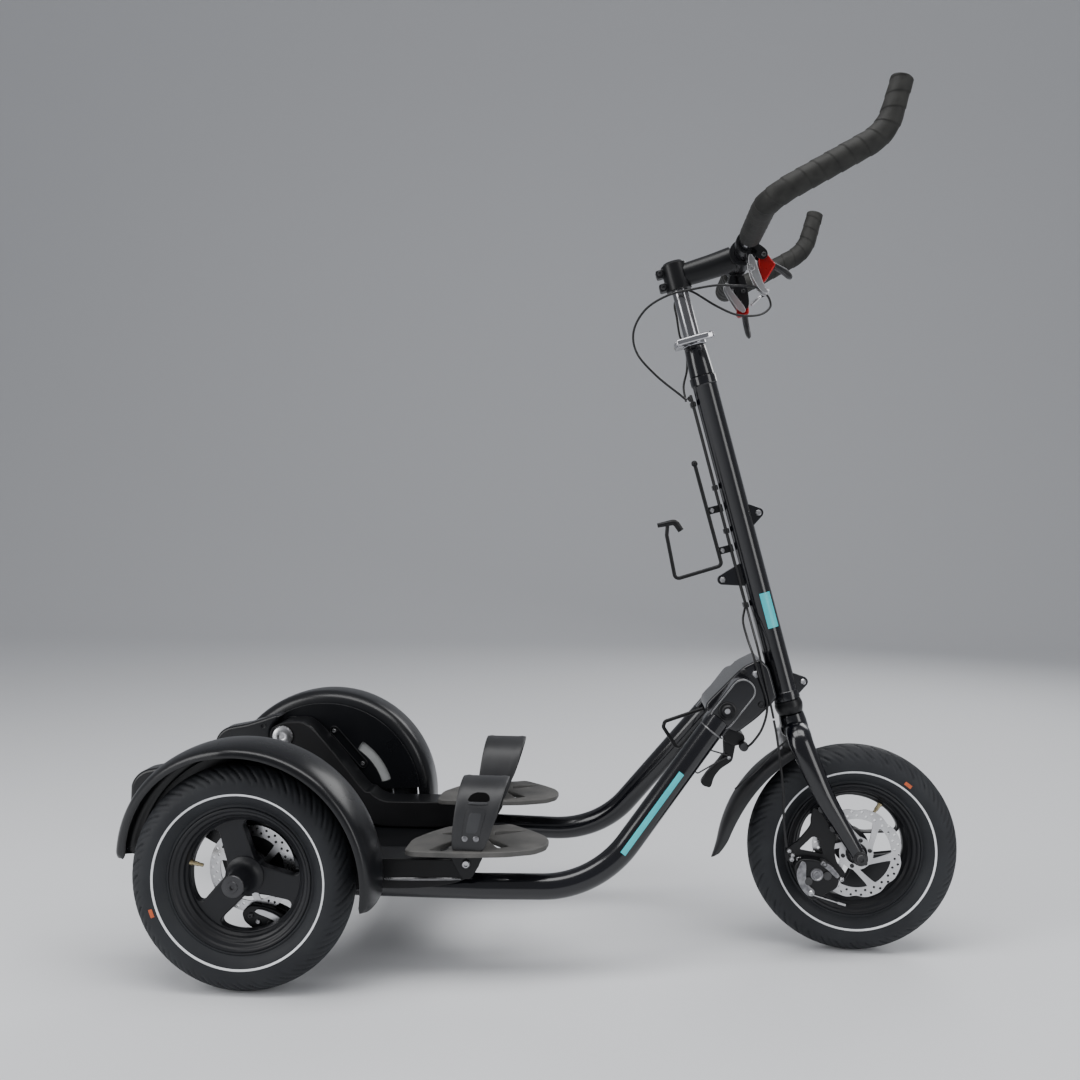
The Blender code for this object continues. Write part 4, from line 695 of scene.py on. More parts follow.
# Pivot covers and pins: a hollow moulded cover hides each arm's high rear pivot, and a bright domed
# pin with a socket shows beside it.
ARM_PIVOT = (-59.6, 285.5)
cover = np.vstack([[(-190, 220), (-189.8, 248)], arc(34, 165, 100, 10, (-156, 262)),
                   [(-130, 302), (-100, 312), (-80, 319), (-70, 317)], arc(27.5, 125, 235, 20, ARM_PIVOT),
                   [(-80, 220)]])
plug = [(0, 0.6), (3, 0.6), (4.6, 1.2), (5, 0.4), (5, -1), (0, -1)]
dome = [(0, -1), (4, -1), (4.6, 2.2), (6.2, 3.2), (12, 2.6), (16.5, 1.2), (17.8, -0.8), (18, -3), (9, -3.4),
        (0, -3.4)]
for name, side in SIDES:
    sheet("cover_shell_" + name, [cover], 38.5, 6, 5, side * 156.75, fender_look, "frame",
          "pivot_cover_" + name)
    spun("cover_plug_" + name, facing(-101, side * 137.5, 299, -side), plug, satin_look, "frame", steps=24,
         slot="fender_plastic")
    spun("pivot_pin_head_" + name, facing(ARM_PIVOT[0], side * 116.3, ARM_PIVOT[1], -side), dome, steel_look,
         "frame")


# Spindles: each rear wheel turns on a steel spindle. Its outer end is a dark cap with a round socket
# in the middle.
spindle_look = finish("spindle_look", (0.050, 0.050, 0.053), (0.075, 0.075, 0.078), 0.34,
                      metallic=0.8, grain=1500)
cap = [(0, 2.2), (3.2, 2.2), (3.4, 4), (5.2, 4.6), (7.4, 4.4), (8, 3.4), (11, 3.2), (14.8, 3), (15.6, 2),
       (15.6, 0.2), (6, 0.1), (6, -80), (0, -80)]
for name, side in SIDES:
    spun("spindle_cap_" + name, facing(0, side * (HALF_TRACK + 41.4), WHEEL_HEIGHT, side), cap, spindle_look,
         "frame", "rear_axle_" + name)


# Pedals: broad grained plates with slots, each under a moulded rubber strap that springs from the
# outer edge, arches over the foot and comes back to the inner edge.
pedal_look = finish("pedal_plate_look", (0.060, 0.059, 0.056), (0.098, 0.095, 0.090), 0.55,
                    clouds=30, grain=800, bump=0.50, depth=0.0006)
# Worn grey steel for rivets and small caliper parts; on the front caliper's rib it is a painted highlight
# along the black casting's upper edge.
worn_steel_and_highlight_look = finish("worn_steel_and_highlight_paint_look", (0.30, 0.30, 0.31), (0.16, 0.16, 0.17), 0.34, metallic=0.9,
                  clouds=140, grain=1500)
strap_look = finish("strap_rubber_look", (0.015, 0.0155, 0.0172), (0.024, 0.0245, 0.0265),
                    0.45, clouds=18, grain=1800, bump=0.12)
panel_look = finish("strap_panel_look", (0.028, 0.029, 0.032), (0.040, 0.041, 0.044), 0.40,
                    clouds=18, grain=1800, bump=0.12)
# Near-black, rough and hardly shiny: painted shade for the inside of the strap's slot.
slot_shade_look = finish("strap_recess_look", (0.0012, 0.0012, 0.0014), (0.0022, 0.0022, 0.0024),
                     0.85, clouds=30, shine=0.1)
plate_corners = [(223, 3), (224.7, 59), (244, 94.4), (270, 129), (340, 139), (361, 148), (396, 118),
                 (418, 93.5), (425, 73.5), (422, 47), (406, 27), (364, 11), (300, 3)]
plate_slots = [[(256, 11), (281.9, 10), (291.9, 68)], [(330, 80), (370.2, 38.5), (354, 29.9)],
               [(340, 109), (392, 118), (343, 88)], [(260, 88), (306, 118), (304, 80)]]
plate_edge = {"right": -208, "left": 58}
PEDAL_TOP = 197
STRAP_RISE = 88.5
strap_arch = [(193, 0.4), (195, 29), (189, 60), (173, 80), (150, STRAP_RISE), (125, 87), (102, 75), (86, 51),
              (79, 23.5), (77, 0.4)]


def strap_route(spots):
    """The strap's arch as close points (left, up), and its outward directions there."""
    route = through(spots, 10)
    ahead = np.gradient(route, axis=0)
    ahead /= np.linalg.norm(ahead, axis=1)[:, None]
    return route, np.stack([ahead[:, 1], -ahead[:, 0]], axis=-1)


def blunt_circle(turn, power):
    """The cosine and sine of a circle blown up towards a square."""
    size = (np.abs(np.cos(turn)) ** power + np.abs(np.sin(turn)) ** power) ** (-1 / power)
    return np.cos(turn) * size, np.sin(turn) * size


def on_strap(side, middle, outward, wide, deep):
    """Points of a ribbon 40 to 67 mm wide that leans forward as it rises: wide is from -1 to 1 across
    it, and deep is the distance out of its arch."""
    rise = middle[:, 1:] / STRAP_RISE
    x = 309 + 4 + 19 * rise + (20 + 13.5 * np.sqrt(rise)) * wide
    y = side * (middle[:, :1] + outward[:, :1] * deep)
    return np.stack([x, y, PEDAL_TOP + np.maximum(middle[:, 1:] + outward[:, 1:] * deep, 0.2)], axis=-1)


def strap_surface(side):
    """The strap itself, 3 mm thick, with rounded edges and a low ridge along each of them."""
    turn = whole_turn(56)[None, :]
    wide, deep = blunt_circle(turn, 10)
    wide = np.clip(wide, -1, 1)
    ridge = np.exp(-((np.abs(wide) - 0.80) / 0.07) ** 2) * 0.7 * (np.sin(turn) > 0)
    return on_strap(side, *strap_route(strap_arch), wide, deep * 1.5 + 1.5 + ridge)


def strap_patch(side, rows, reach, lift, dome):
    """A raised patch on the strap's outer face: closed sections from one row of the strap's arch to
    another, as wide as the reach, whose top is round towards its edges. A dome narrows it upwards."""
    route, outward = strap_route(strap_arch[:6])
    at, number = np.linspace(*rows, 12), np.arange(len(route))
    middle, away = (np.stack([np.interp(at, number, spots[:, k]) for k in range(2)], axis=-1)
                    for spots in (route, outward))
    wide, deep = blunt_circle(whole_turn(28)[None, :], 8)
    share = np.linspace(0, 1, 12)[:, None]
    ends = (1 - np.abs(2 * share - 1) ** 8 * 0.25) * np.sqrt(1 - dome * share ** 2)
    return on_strap(side, middle, away, reach * wide * ends, 2.4 + (lift - 2.4) * np.clip(deep, -0.2, 1))


plate_outlines = [softened(plate_corners, 0.13)] + [softened(slot, 0.10) for slot in plate_slots]
for name, side in SIDES:
    body = "pedal_" + name
    sheet("pedal_plate_" + name, plate_outlines, 8, 1.8, 3,
          Matrix.Translation((0, plate_edge[name], PEDAL_TOP - 4)), pedal_look, body, body)
    swept("strap_band_" + name, strap_surface(side), strap_look, body, "foot_strap_" + name)
    for part, rows, reach, lift, dome, look in (
            ("panel", (7, 19), 0.46, 4.2, 0, strap_look),
            ("panel_inner", (9, 17.4), 0.30, 4.6, 0, panel_look),
            # The slot patch is a near-black sheet standing for the shade inside the slot: painted shade.
            ("slot", (22.6, 27.8), 0.50, 3.4, 0.8, slot_shade_look),
            # The bar under the slot is raised and takes the panel's lighter colour as a painted highlight.
            ("bar", (21.2, 22.4), 0.44, 4.3, 0, panel_look)):
        swept("strap_%s_%s" % (part, name), strap_patch(side, rows, reach, lift, dome), look, body)
    for k, x in enumerate((309.5, 325.5)):
        bolt("strap_rivet_%s_%d" % (name, k), facing(x, side * 198.6, PEDAL_TOP + 18, side), 4.2, 1.4,
             worn_steel_and_highlight_look, body, 0.2)


# Steering column: a long steel tube painted gloss black, with flat lugs for bags welded on, and the
# tapered sleeve of the inner tube above it.
column_place = Matrix.Translation((850, 0, WHEEL_HEIGHT)) @ Matrix.Rotation(math.radians(-15.1), 4, "Y")


def on_column(points):
    """Points (reach forward, left, height) of the column's own frame, in the scooter's frame."""
    return carried(column_place, np.array(points, float))


def column_spot(x, y, z):
    """A place on the column whose axes are the column's own."""
    return column_place @ Matrix.Translation((x, y, z))


column_outline = [(16, 236.2), (20, 236.2), (20.7, 237), (20.7, 248), (19.8, 250), (19, 250.6), (19, 744),
                  (19.6, 745.2), (20.5, 746), (20.5, 758.2), (19.8, 759), (16, 759)]
spun("column_tube", column_place, column_outline, gloss_look, "column", "head_tube", steps=96)
sleeve_outline = [(12.9, 730), (15.5, 730), (15.5, 759.6), (18, 759.7), (18.7, 760.5), (18.7, 763), (18, 780),
                  (16.6, 805), (15, 807.5), (15, 822.2), (12.9, 822.2)]
spun("sleeve_tube", column_place, sleeve_outline, gloss_look, "steering", "steerer_tube", steps=96)
for name, height, way, reach in (("low", 257, 1, 30), ("high", 530.1, 1, 30), ("rear", 442.3, -1, 50)):
    tip = way * reach
    outline = np.vstack([[(way * 16, height - 19)], arc(8, 90 - 152 * way, 90 - 28 * way, 16, (tip, height)),
                         [(way * 16, height + 19)]])
    sheet("column_lug_" + name, [outline], 8, 0.8, 2, column_place @ facing(0, 0, 0, -1), gloss_look,
          "column")
    bolt("lug_screw_" + name, column_place @ facing(tip, -4.1, height, -1), 4.6, 2.8, steel_look, "column")


# Marks: plain turquoise vinyl strips, without words or signs. One lies on the column and one on each
# rail, a quarter of a millimetre above the paint.
mark_look = finish("turquoise_vinyl_look", (0.045, 0.46, 0.52), (0.060, 0.53, 0.58), 0.32,
                   clouds=40, grain=1200, bump=0.02)


def vinyl(name, route, radius, start, end, body, start_side):
    """A strip that lies on a tube: part of the way round its section, as a thin closed sheet."""
    turn = np.radians(np.concatenate([np.linspace(start, end, 16), np.linspace(end, start, 16)]))[None, :]
    lift = radius + np.repeat([0.25, -0.1], 16)[None, :]
    swept(name, around(route, lift, turn, start_side), mark_look, body, merge=0.000001)


vinyl("column_mark", on_column(np.linspace((0, 0, 352), (0, 0, 408), 10)), 19, -8, 48, "column", (0, -1, 0))
for name, side in SIDES:
    slope = np.linspace((530, side * 124.1, 177.9), (616, side * 88.6, 288.9), 20)
    vinyl("rail_mark_" + name, slope, FRAME_TUBE_RADIUS, -15, 12, "frame", (0, side, 0))


# Handlebar: a bright bar through the stem's clamp, and horns wound with cork-grained tape. The horns
# run outwards, bend forward and turn up at their ends.
chrome_look = finish("chrome_look", (0.50, 0.50, 0.52), (0.42, 0.42, 0.44), 0.14,
                     metallic=1.0, clouds=12, grain=600, bump=0.01)
tape_look = finish("bar_tape_look", (0.012, 0.012, 0.011), (0.024, 0.024, 0.022), 0.64, clouds=60,
                   grain=1500, bump=0.45, depth=0.0004, shine=0.3)
BAR_REACH, BAR_HEIGHT = 105.5, 925.7
bar_middle = on_column([(BAR_REACH, 0, BAR_HEIGHT)])[0]


def taped_horn(side):
    """A tube whose radius steps up at every turn of the tape: the fraction of a turn, counted along
    the horn and round it, gives the edge of each overlap."""
    corners = np.array([(0, 110, 0), (0, 272, 0), (148, 276, 80), (168, 277, 152)])
    route = bent(bar_middle + corners * (1, side, 1), [40, 62], 40)
    travelled = np.concatenate([[0], np.cumsum(np.linalg.norm(np.diff(route, axis=0), axis=1))])
    even = np.linspace(0, travelled[-1], 420)
    route = np.stack([np.interp(even, travelled, route[:, k]) for k in range(3)], axis=-1)
    even, turn = even[:, None], whole_turn(64)[None, :]
    lay = (even / 20.5 + turn / math.tau * side) % 1
    overlap = 1.1 * smooth_step(lay / 0.10) * (1 - lay * 0.85)
    round_end = np.sqrt(np.clip(1 - (np.maximum(even - even[-1] + 4, 0) / 4.2) ** 2, 0, 1))
    slim = 1 - 0.09 * smooth_step((even - 300) / 60)
    return around(route, (15.6 + overlap) * slim * round_end, turn, (1, 0, 0))


for name, side in SIDES:
    swept("horn_tape_" + name, taped_horn(side), tape_look, "handlebars", "taped_horn_" + name)
tube("middle_bar", np.linspace(bar_middle - (0, 109.6, 0), bar_middle + (0, 109.6, 0), 6), 12.7, 48,
     chrome_look, "handlebars", "handlebar", slot="bare_steel", start_side=(1, 0, 0))


# Rear structure: a thick steel tube across the scooter carries a plate at each end for the arm's
# pivot and the wheel's spindle, and a flat box brace joins the two rails. All are painted satin black.
def box_outline(x0, y0, x1, y1):
    """A rectangle between two opposite corners."""
    return [(x0, y0), (x1, y0), (x1, y1), (x0, y1)]


beam = [(0, -178), (26.2, -178), (27, -177.2), (27, 177.2), (26.2, 178), (0, 178)]
spun("axle_beam_tube", facing(0, 0, WHEEL_HEIGHT, 1), beam, satin_look, "frame", "rear_axle_beam", steps=72)
brace_half = 150 - FRAME_TUBE_RADIUS - 0.4
sheet("brace_box", [box_outline(85, 109, 250, 129)], 2 * brace_half, 4, 4, 0, satin_look, "frame",
      "cross_brace")
side_plate = np.vstack([arc(24, 20, 190, 24, ARM_PIVOT), arc(30, 200, 300, 12, (-10, 146)),
                        arc(26, -70, 60, 14, (40, 140))])
for name, side in SIDES:
    sheet("side_plate_" + name, [side_plate], 5, 1.2, 2, side * 179, satin_look, "frame")
    for k, (x, z) in enumerate(((-20, 130), (48, 140))):
        bolt("side_plate_bolt_%s_%d" % (name, k), facing(x, side * 176.5, z, -side), 5.2, 3.5, steel_look,
             "frame")


# Pedal arms: each is a folded steel box at its pivot that opens into a channel over the rail and
# carries the pedal's bracket on a cross bolt at its front end.
flank_look = finish("arm_flank_look", (0.004, 0.004, 0.0045), (0.007, 0.007, 0.008), 0.50,
                    clouds=12, grain=900, shine=0.25)
CROSS_BOLT = (309, 173.3)
arm_upper = np.vstack([[(-60, 309.3), (-18, 311.2), (40, 247.2), (85, 191.2)],
                       arc(48, 222, 268, 8, (131, 223)), [(319, 178), (327, 170)]])
arm_lower = [(322, 160), (306, 148), (285, 141), (236, 133.5), (160, 131.5), (118, 131.5), (90, 138.5),
             (69, 158), (12, 227), (-25, 269)]
arm_end = arc(24, 290, 140, 20, ARM_PIVOT)
arm_outline = softened(np.vstack([arm_upper, arm_lower, arm_end]), 0.2)
arm_box = softened(np.vstack([arm_upper[:3], [(70, 208), (71.5, 156)], arm_lower[-3:], arm_end]), 0.15, 1)
arm_top = softened(np.vstack([arm_upper[2:], (arm_upper[2:] + (-1.5, -4.6))[::-1]]), 0.2, 1)
swell = 2.6 * np.sin(np.linspace(0.12, math.pi - 0.12, 12)) ** 0.3
for name, side in SIDES:
    body = "pedal_arm_" + name
    sheet("arm_root_" + name, [arm_box], 55, 5.5, 5, side * 147.75, satin_look, body, body)
    sheet("arm_top_" + name, [arm_top], 53, 1, 2, side * 147.75, satin_look, body)
    for wall, y in (("inner", 122.35), ("outer", 173.15)):
        sheet("arm_flank_%s_%s" % (wall, name), [arm_outline, circle(4.6, 24, CROSS_BOLT)], 4.6, 1.8, 3,
              side * y, flank_look, body)
    # The swage along the outer flank is satin black; it is painted metallic grey as its highlight.
    tube("arm_crease_" + name, np.linspace((190, side * 175.1, 146.2), (301, side * 175.1, 149.7), 12), swell,
         16, edge_highlight_look, body, slot="satin_black")


# Pedal brackets: a bent plate under each pedal reaches down outside both walls of the arm and tilts
# on the cross bolt, whose heads show on both sides.
x, z = CROSS_BOLT
ear = softened([(283, 188.4), (336, 188.4), (319, 155.3), (314, 151.3), (306, 151.3), (301, 155.3)], 0.15)
for name, side in SIDES:
    body = "pedal_" + name
    sheet("bracket_outer_" + name, [ear], 3.5, 0.8, 2, side * 177.95, satin_look, body,
          "pedal_bracket_" + name)
    sheet("bracket_inner_" + name, [ear], 3.5, 0.8, 2, side * 117.75, satin_look, body)
    mirrored_top = Matrix(((1, 0, 0, 0), (0, side, 0, 0), (0, 0, 1, 186.6), (0, 0, 0, 1)))
    sheet("bracket_saddle_" + name, [box_outline(285, 116, 334, 179.7)], 4, 0.8, 2, mirrored_top, satin_look,
          body)
    for end, y, out in (("outer", 179.7, side), ("inner", 116, -side)):
        bolt("bracket_bolt_%s_%s" % (end, name), facing(x, side * y, z, out), 6.4, 4.2, steel_look, body)
    tube("bracket_shaft_" + name, np.linspace((x, side * 116.5, z), (x, side * 179, z), 4), 4, 20, steel_look,
         body, start_side=(1, 0, 0))


# Rear calipers: small cast brakes below the axle, each in two halves that straddle the disc, with a
# pad adjuster and a cable arm on the inboard half.
caliper = softened([(-12, 100), (0, 112), (30, 108), (56, 96), (62, 82), (50, 73), (25, 80), (6, 76),
                    (-8, 86)], 0.2)
bridge = softened([(-9.3, 90.3), (-8, 86), (6, 76), (25, 80), (50, 73), (62, 82), (58.8, 90.3)], 0.15, 1)
adjuster = [(0, 4), (3.5, 4), (4.5, 3), (8.5, 3.4), (9.5, 2.4), (9.5, -1), (0, -1)]
cable_arm = softened([(6, 102), (16, 108), (40, 100), (52, 90), (48, 84), (34, 92)], 0.2)
for name, side in SIDES:
    sheet("caliper_inboard_" + name, [caliper], 15.2, 2.8, 3, side * 177.7, satin_look, "frame",
          "rear_caliper_" + name)
    sheet("caliper_outboard_" + name, [caliper], 8.8, 2.4, 3, side * 195, satin_look, "frame")
    sheet("caliper_bridge_" + name, [bridge], 24, 2, 2, side * 186, satin_look, "frame")
    spun("caliper_adjuster_" + name, facing(33, side * 170.2, 93, -side), adjuster, screw_look, "frame",
         steps=32)
    sheet("caliper_arm_" + name, [cable_arm], 3.6, 1, 2, side * 201, steel_look, "frame")
    for k, (x, z, size) in enumerate(((2, 96, 4.4), (13, 88, 3.6), (30, 86, 4), (54, 82, 4.4))):
        bolt("caliper_outer_bolt_%s_%d" % (name, k), facing(x, side * 199.4, z, side), size, 2.6,
             steel_look if k % 2 else screw_look, "frame")
    for k, (x, z) in enumerate(((2, 98), (52, 85))):
        bolt("caliper_bolt_%s_%d" % (name, k), facing(x, side * 170.2, z, -side), 4.2, 3, steel_look, "frame")


# Folding joint: a cast block sits between the ears, turns on the fold bolt and clamps the column. A
# spring lock with a ribbed knob and a finger lever hangs below it, with thin wire pulls.
block = softened([(653, 380), (713, 442), (740, 456), (754, 442), (766, 398), (760, 388), (736, 364),
                  (708, 342), (690, 348)], 0.12)
sheet("hinge_block_body", [block, circle(8.8, 32, (FOLD_X, FOLD_Z))], 90, 4.5, 4, 0, gloss_look, "column",
      "hinge_block", slot="satin_black")
for name, side in SIDES:
    for part, x, z, size, height, look in (
            ("cross_bolt_" + name, 733, 432, 5.5, 3.5, steel_look),
            ("clamp_bolt_%s_0" % name, 715, 436, 4.6, 2.8, screw_look),
            ("clamp_bolt_%s_1" % name, 670, 348, 4, 2.8, screw_look),
            ("lower_bolt_" + name, 742, 386, 4.6, 3, screw_look)):
        bolt("block_" + part, facing(x, side * 45, z, side), size, height, look, "column")
lock_body = [(707.6, 341.4), (689.8, 347.3), (685.5, 337), (689, 323.5), (704, 315), (715, 319), (722, 326),
             (720, 334)]
sheet("lock_body", [softened(lock_body, 0.15)], 43.6, 4, 4, 0, satin_look, "column", "lock_barrel")
knob = [(0, 32.6), (5.8, 32.8), (7, 31.6), (7.2, 30), (6.6, 29.2), (7.2, 28.4), (6.6, 27), (7.2, 26.2),
        (7.2, 23.2), (5.8, 22.4), (5.8, 10), (0, 10)]
spun("lock_knob", facing(718.5, 0, 317.5, -1), knob, screw_look, "column", steps=40, slot="satin_black")
cheek = softened(np.vstack([[(690, 326)], arc(6.5, 190, 350, 12, (698, 296)), [(709, 320)]]), 0.1, 1)
for name, side in SIDES:
    sheet("lock_cheek_" + name, [cheek], 2.6, 0.6, 2, side * 8.7, satin_look, "column")
    bolt("lock_pivot_" + name, facing(698, side * 10, 296, side), 3.4, 2.2, steel_look, "column")
finger = [(706, 299), (699, 304.5), (690, 301), (679, 286), (664, 270), (654.5, 255), (659, 249), (671, 246),
          (676, 264), (686, 277), (704, 289)]
sheet("lock_finger", [softened(finger, 0.18)], 13.8, 2, 3, 0, satin_look, "lock_lever", "lock_lever")
pull = [(696, -11.8, 300), (665, -15, 308.8), (637.2, -17, 264), (677.1, -15, 288), (695.5, -11.8, 297.2)]
tube("lock_wire", bent(pull, [4] * 3, 8), 1.2, 10, screw_look, "column")
loop = [(658, 0, 370), (598.5, 0, 348.5), (596, 0, 340), (619, 0, 305), (642, 0, 333)]
tube("catch_wire", bent(loop, [6] * 3, 10), 2.9, 20, satin_look, "catch_loop", "catch_loop")


# Headset and crown: a turned bearing cup under the tube, and below it the fork, a unicrown one whose
# two legs leave the crown sideways, bend down and taper to the spindle.
cup = [(16, 235.5), (19.8, 235.5), (20.5, 234.8), (20.7, 232), (21.6, 229), (21.8, 226), (21.2, 221.5),
       (19.6, 216.5), (19, 215), (16, 215)]
spun("headset_cup", column_place, softened(cup, 0.2, 1), satin_look, "column", "lower_headset_cup", steps=72)
crown = [(0, 180.2), (12, 180.2), (18.5, 181.2), (21, 185), (21.4, 190), (20.8, 202), (19.8, 210),
         (19, 213.2), (16, 213.6), (0, 213.6)]
spun("fork_crown", column_place, crown, gloss_look, "steering", "fork", steps=72)
leg_spots = [(801.2, 6, 344, 17.2), (801.2, 20, 343.6, 18.2), (801, 34, 339, 18.8), (803, 44, 328, 18.7),
             (809.5, 50, 311, 18), (821.5, 53.6, 284, 16.8), (838, 55.6, 248, 15.2), (864, 56.6, 203, 12.7),
             (885, 57, 167, 10.6), (889, 57, 160, 9.8)]
front_x, _, front_z = hubs["front"]
for name, side in SIDES:
    spots = through(leg_spots, 10) * (1, side, 1, 1)
    tube("fork_leg_" + name, spots[:, :3], spots[:, 3], 40, gloss_look, "steering", flatten=0.72,
         start_side=(0, 0, 1))
    sheet("fork_tip_" + name, [circle(11.8, 40)], 9, 1.6, 3, facing(front_x, side * 57, front_z, -1),
          satin_look, "steering", slot="gloss_black")
axle = [(0, 68.2), (3, 68.2), (3.4, 70), (6.6, 70.2), (7.6, 69.4), (8.2, 67.2), (10, 66.8), (10.6, 65.5),
        (10.6, 62.2), (6, 62), (6, -65.5), (0, -66)]
spun("front_spindle", facing(front_x, 0, front_z, -1), axle, screw_look, "steering", "front_axle", steps=40)
bolt("front_spindle_nut", facing(front_x, 61.8, front_z, 1), 8.8, 6.5, steel_look, "steering", 0.4)


# Front fender: a narrow crowned plastic shell trails the wheel from a bracket under the crown, ends
# in a point and is held by a thin rod.
def trailing_fender():
    """Thin closed sections from 120 to 187 degrees about the spindle: the shell moves away from the
    tyre, narrows as the fourth power of the way along it, and its tail flicks out to a slanted tip."""
    share = np.linspace(0, 1, 100)
    grow = 187 + 25.5 * share ** 1.4 + 6 * np.clip((share - 0.86) / 0.14, 0, 1) ** 2
    half = 33 * (1 - 0.74 * share ** 4)
    edge = grow - (16.5 + 4 * np.sin(share * math.pi) - 3 * share ** 6)
    section = shell_sections([(-half, edge), (-half * 0.8, grow - 4), (0, grow), (half * 0.8, grow - 4),
                              (half, edge), (half - 2, edge - 1), (half * 0.76, grow - 6.4), (0, grow - 2.4),
                              (-half * 0.76, grow - 6.4), (2 - half, edge - 1)], share)
    slant = (grow[:, None] - section[:, 1].T) / 18 * (share ** 8)[:, None]
    return round_wheel(hubs["front"], section, 120 + 66.5 * share[:, None] - 2.6 * slant)


trail_look = finish("front_fender_look", (0.012, 0.0122, 0.0140), (0.018, 0.0184, 0.0205),
                    0.40, clouds=14, grain=900, bump=0.06)
swept("front_fender_shell", trailing_fender(), trail_look, "steering", "front_fender")
hanger = softened([(771.5, 340), (778, 342), (783, 305), (776, 304)], 0.1, 1)
sheet("fender_hanger", [hanger], 18, 1.2, 2, 0, steel_look, "steering")
rod = bent([(708, -12, 247.5), (735, -30, 278), (770, -30, 316), (785, -30, 331)], [20, 30], 12)
tube("fender_rod", rod, 1.4, 12, screw_look, "steering")


# Front caliper: a mechanical disc brake on a plate with a three-cornered window, welded behind the
# right leg. It carries a pad adjuster, two mounting bolts and a cable arm with its silver end cap.
mount = [(821.6, 233), (832.5, 227), (840.8, 214.2), (851.5, 197), (856, 188), (852.9, 167.6), (857.1, 148.7),
         (871.9, 131.5), (862, 121.6), (830, 130), (796, 140), (781, 150), (780, 164), (790, 174.5),
         (798.1, 179), (817.7, 203.4), (817.7, 215.7)]
window = [(800, 166.8), (810.6, 177.5), (821, 188), (829, 185), (832.2, 172), (836.2, 161), (831, 162),
          (818, 164)]
sheet("caliper_plate", [softened(mount, 0.18), softened(window, 0.18)], 5.8, 1, 2, -47, satin_look,
      "steering", "front_caliper")
for k, spot in enumerate(((833, 230), (850, 201))):
    sheet("caliper_tab_%d" % k, [circle(5.5, 24, spot)], 9, 1.2, 2, -49, gloss_look, "steering")
casting = [(790, 145), (801, 157.5), (829, 156), (847, 142), (859, 129), (856, 114), (840, 105), (825, 96),
           (817, 93.5), (806, 108), (796, 129)]
sheet("caliper_shell", [softened(casting, 0.2)], 15, 3, 4, -55.5, satin_look, "steering")
pad_ring = [(0, 3), (3, 3), (3.4, 1.6), (6.2, 1.8), (7.4, 3), (9.2, 2.6), (9.8, 0.8), (9.8, -2), (0, -2)]
spun("caliper_adjuster", facing(824.5, -62.8, 134.4, -1), pad_ring, worn_steel_and_highlight_look, "steering", steps=40)
lever = [(801, 156), (809, 152), (808, 130), (812, 118), (822, 110), (820, 103), (810, 102), (799, 116),
         (793, 135)]
sheet("caliper_lever", [softened(lever, 0.2)], 3.4, 1, 2, -64.4, worn_steel_and_highlight_look, "steering")
for k, (x, y, z, size) in enumerate(((836, -62.8, 150, 4.6), (864, -49.8, 124, 4), (816.2, -65.8, 106.8, 4.4),
                                     (789.5, -49.8, 152, 4))):
    bolt("caliper_bolt_%d" % k, facing(x, y, z, -1), size, 2.8, steel_look if k else screw_look, "steering")
# The rib along the casting's upper edge is satin black; its light steel colour is a painted highlight.
rib = softened([(833, 156), (847, 148), (859, 133), (854, 129), (840, 142), (829, 150)], 0.15, 1)
sheet("caliper_rib", [rib], 18, 1.2, 2, -56, worn_steel_and_highlight_look, "steering", slot="satin_black")
share = np.linspace(0, 1, 90)
coil = np.stack([798.5 + 6 * share + 3 * np.cos(share * 44), 3 * np.sin(share * 44) - 53, 156 - 35 * share],
                axis=-1)
tube("caliper_spring", coil, 0.9, 8, steel_look, "steering")
for k, spot in enumerate(((812, 124), (840, 133))):
    sheet("caliper_lug_%d" % k, [circle(6.2, 24, spot)], 4.4, 1, 2, -64, screw_look, "steering")
tube("caliper_wire", np.linspace((818, -64, 103.8), (858, -62.5, 91.8), 8), 0.9, 10, steel_look, "steering")
tube("caliper_wire_cap", np.linspace((856, -62.6, 92.4), (867.5, -62.4, 89.2), 6), 1.8, 12, steel_look,
     "steering")
for k, (x, z) in enumerate(((785.5, 165), (790.5, 158.5))):
    bolt("cable_stop_%d" % k, facing(x, -50, z, -1), 3.6, 3, steel_look, "steering")


# Bottle cage: one bent wire with a ball on its free top and a hooked tube on its outer end, held on
# the back of the column by two small feet with bolts.
cage = bent([(-46, 0, 627), (-45, 0, 464), (-121, 0, 461), (-116.5, 0, 532), (-111, 0, 548)], [7] * 3, 12)
tube("cage_wire", on_column(cage), 3, 20, satin_look, "column", "bottle_cage")
hook = bent([(-126.8, 0, 550.3), (-98.5, 0, 549), (-93, 0, 533.2)], [8], 14)
hook_radius = np.interp(np.arange(len(hook)), [0, 1, len(hook) - 4, len(hook) - 1], [3.6, 4.6, 5.2, 5])
tube("cage_hook", on_column(hook), hook_radius, 24, satin_look, "column")
ball = [(0, -5), (3, -4.2), (4.8, -2), (5, 0.4), (4.4, 3), (2.6, 4.7), (0, 5.2)]
spun("cage_ball", column_spot(-46.1, 0, 629.8), ball, satin_look, "column", steps=24)
for k, height in enumerate((487, 552)):
    sheet("cage_foot_%d" % k, [box_outline(-44, height - 5.8, -21, height + 5.8)], 4.2, 1, 2,
          column_place @ facing(0, 0, 0, -1), satin_look, "column")
    bolt("cage_bolt_%d" % k, column_place @ facing(-38.5, -2.1, height, -1), 3.8, 3, steel_look, "column")


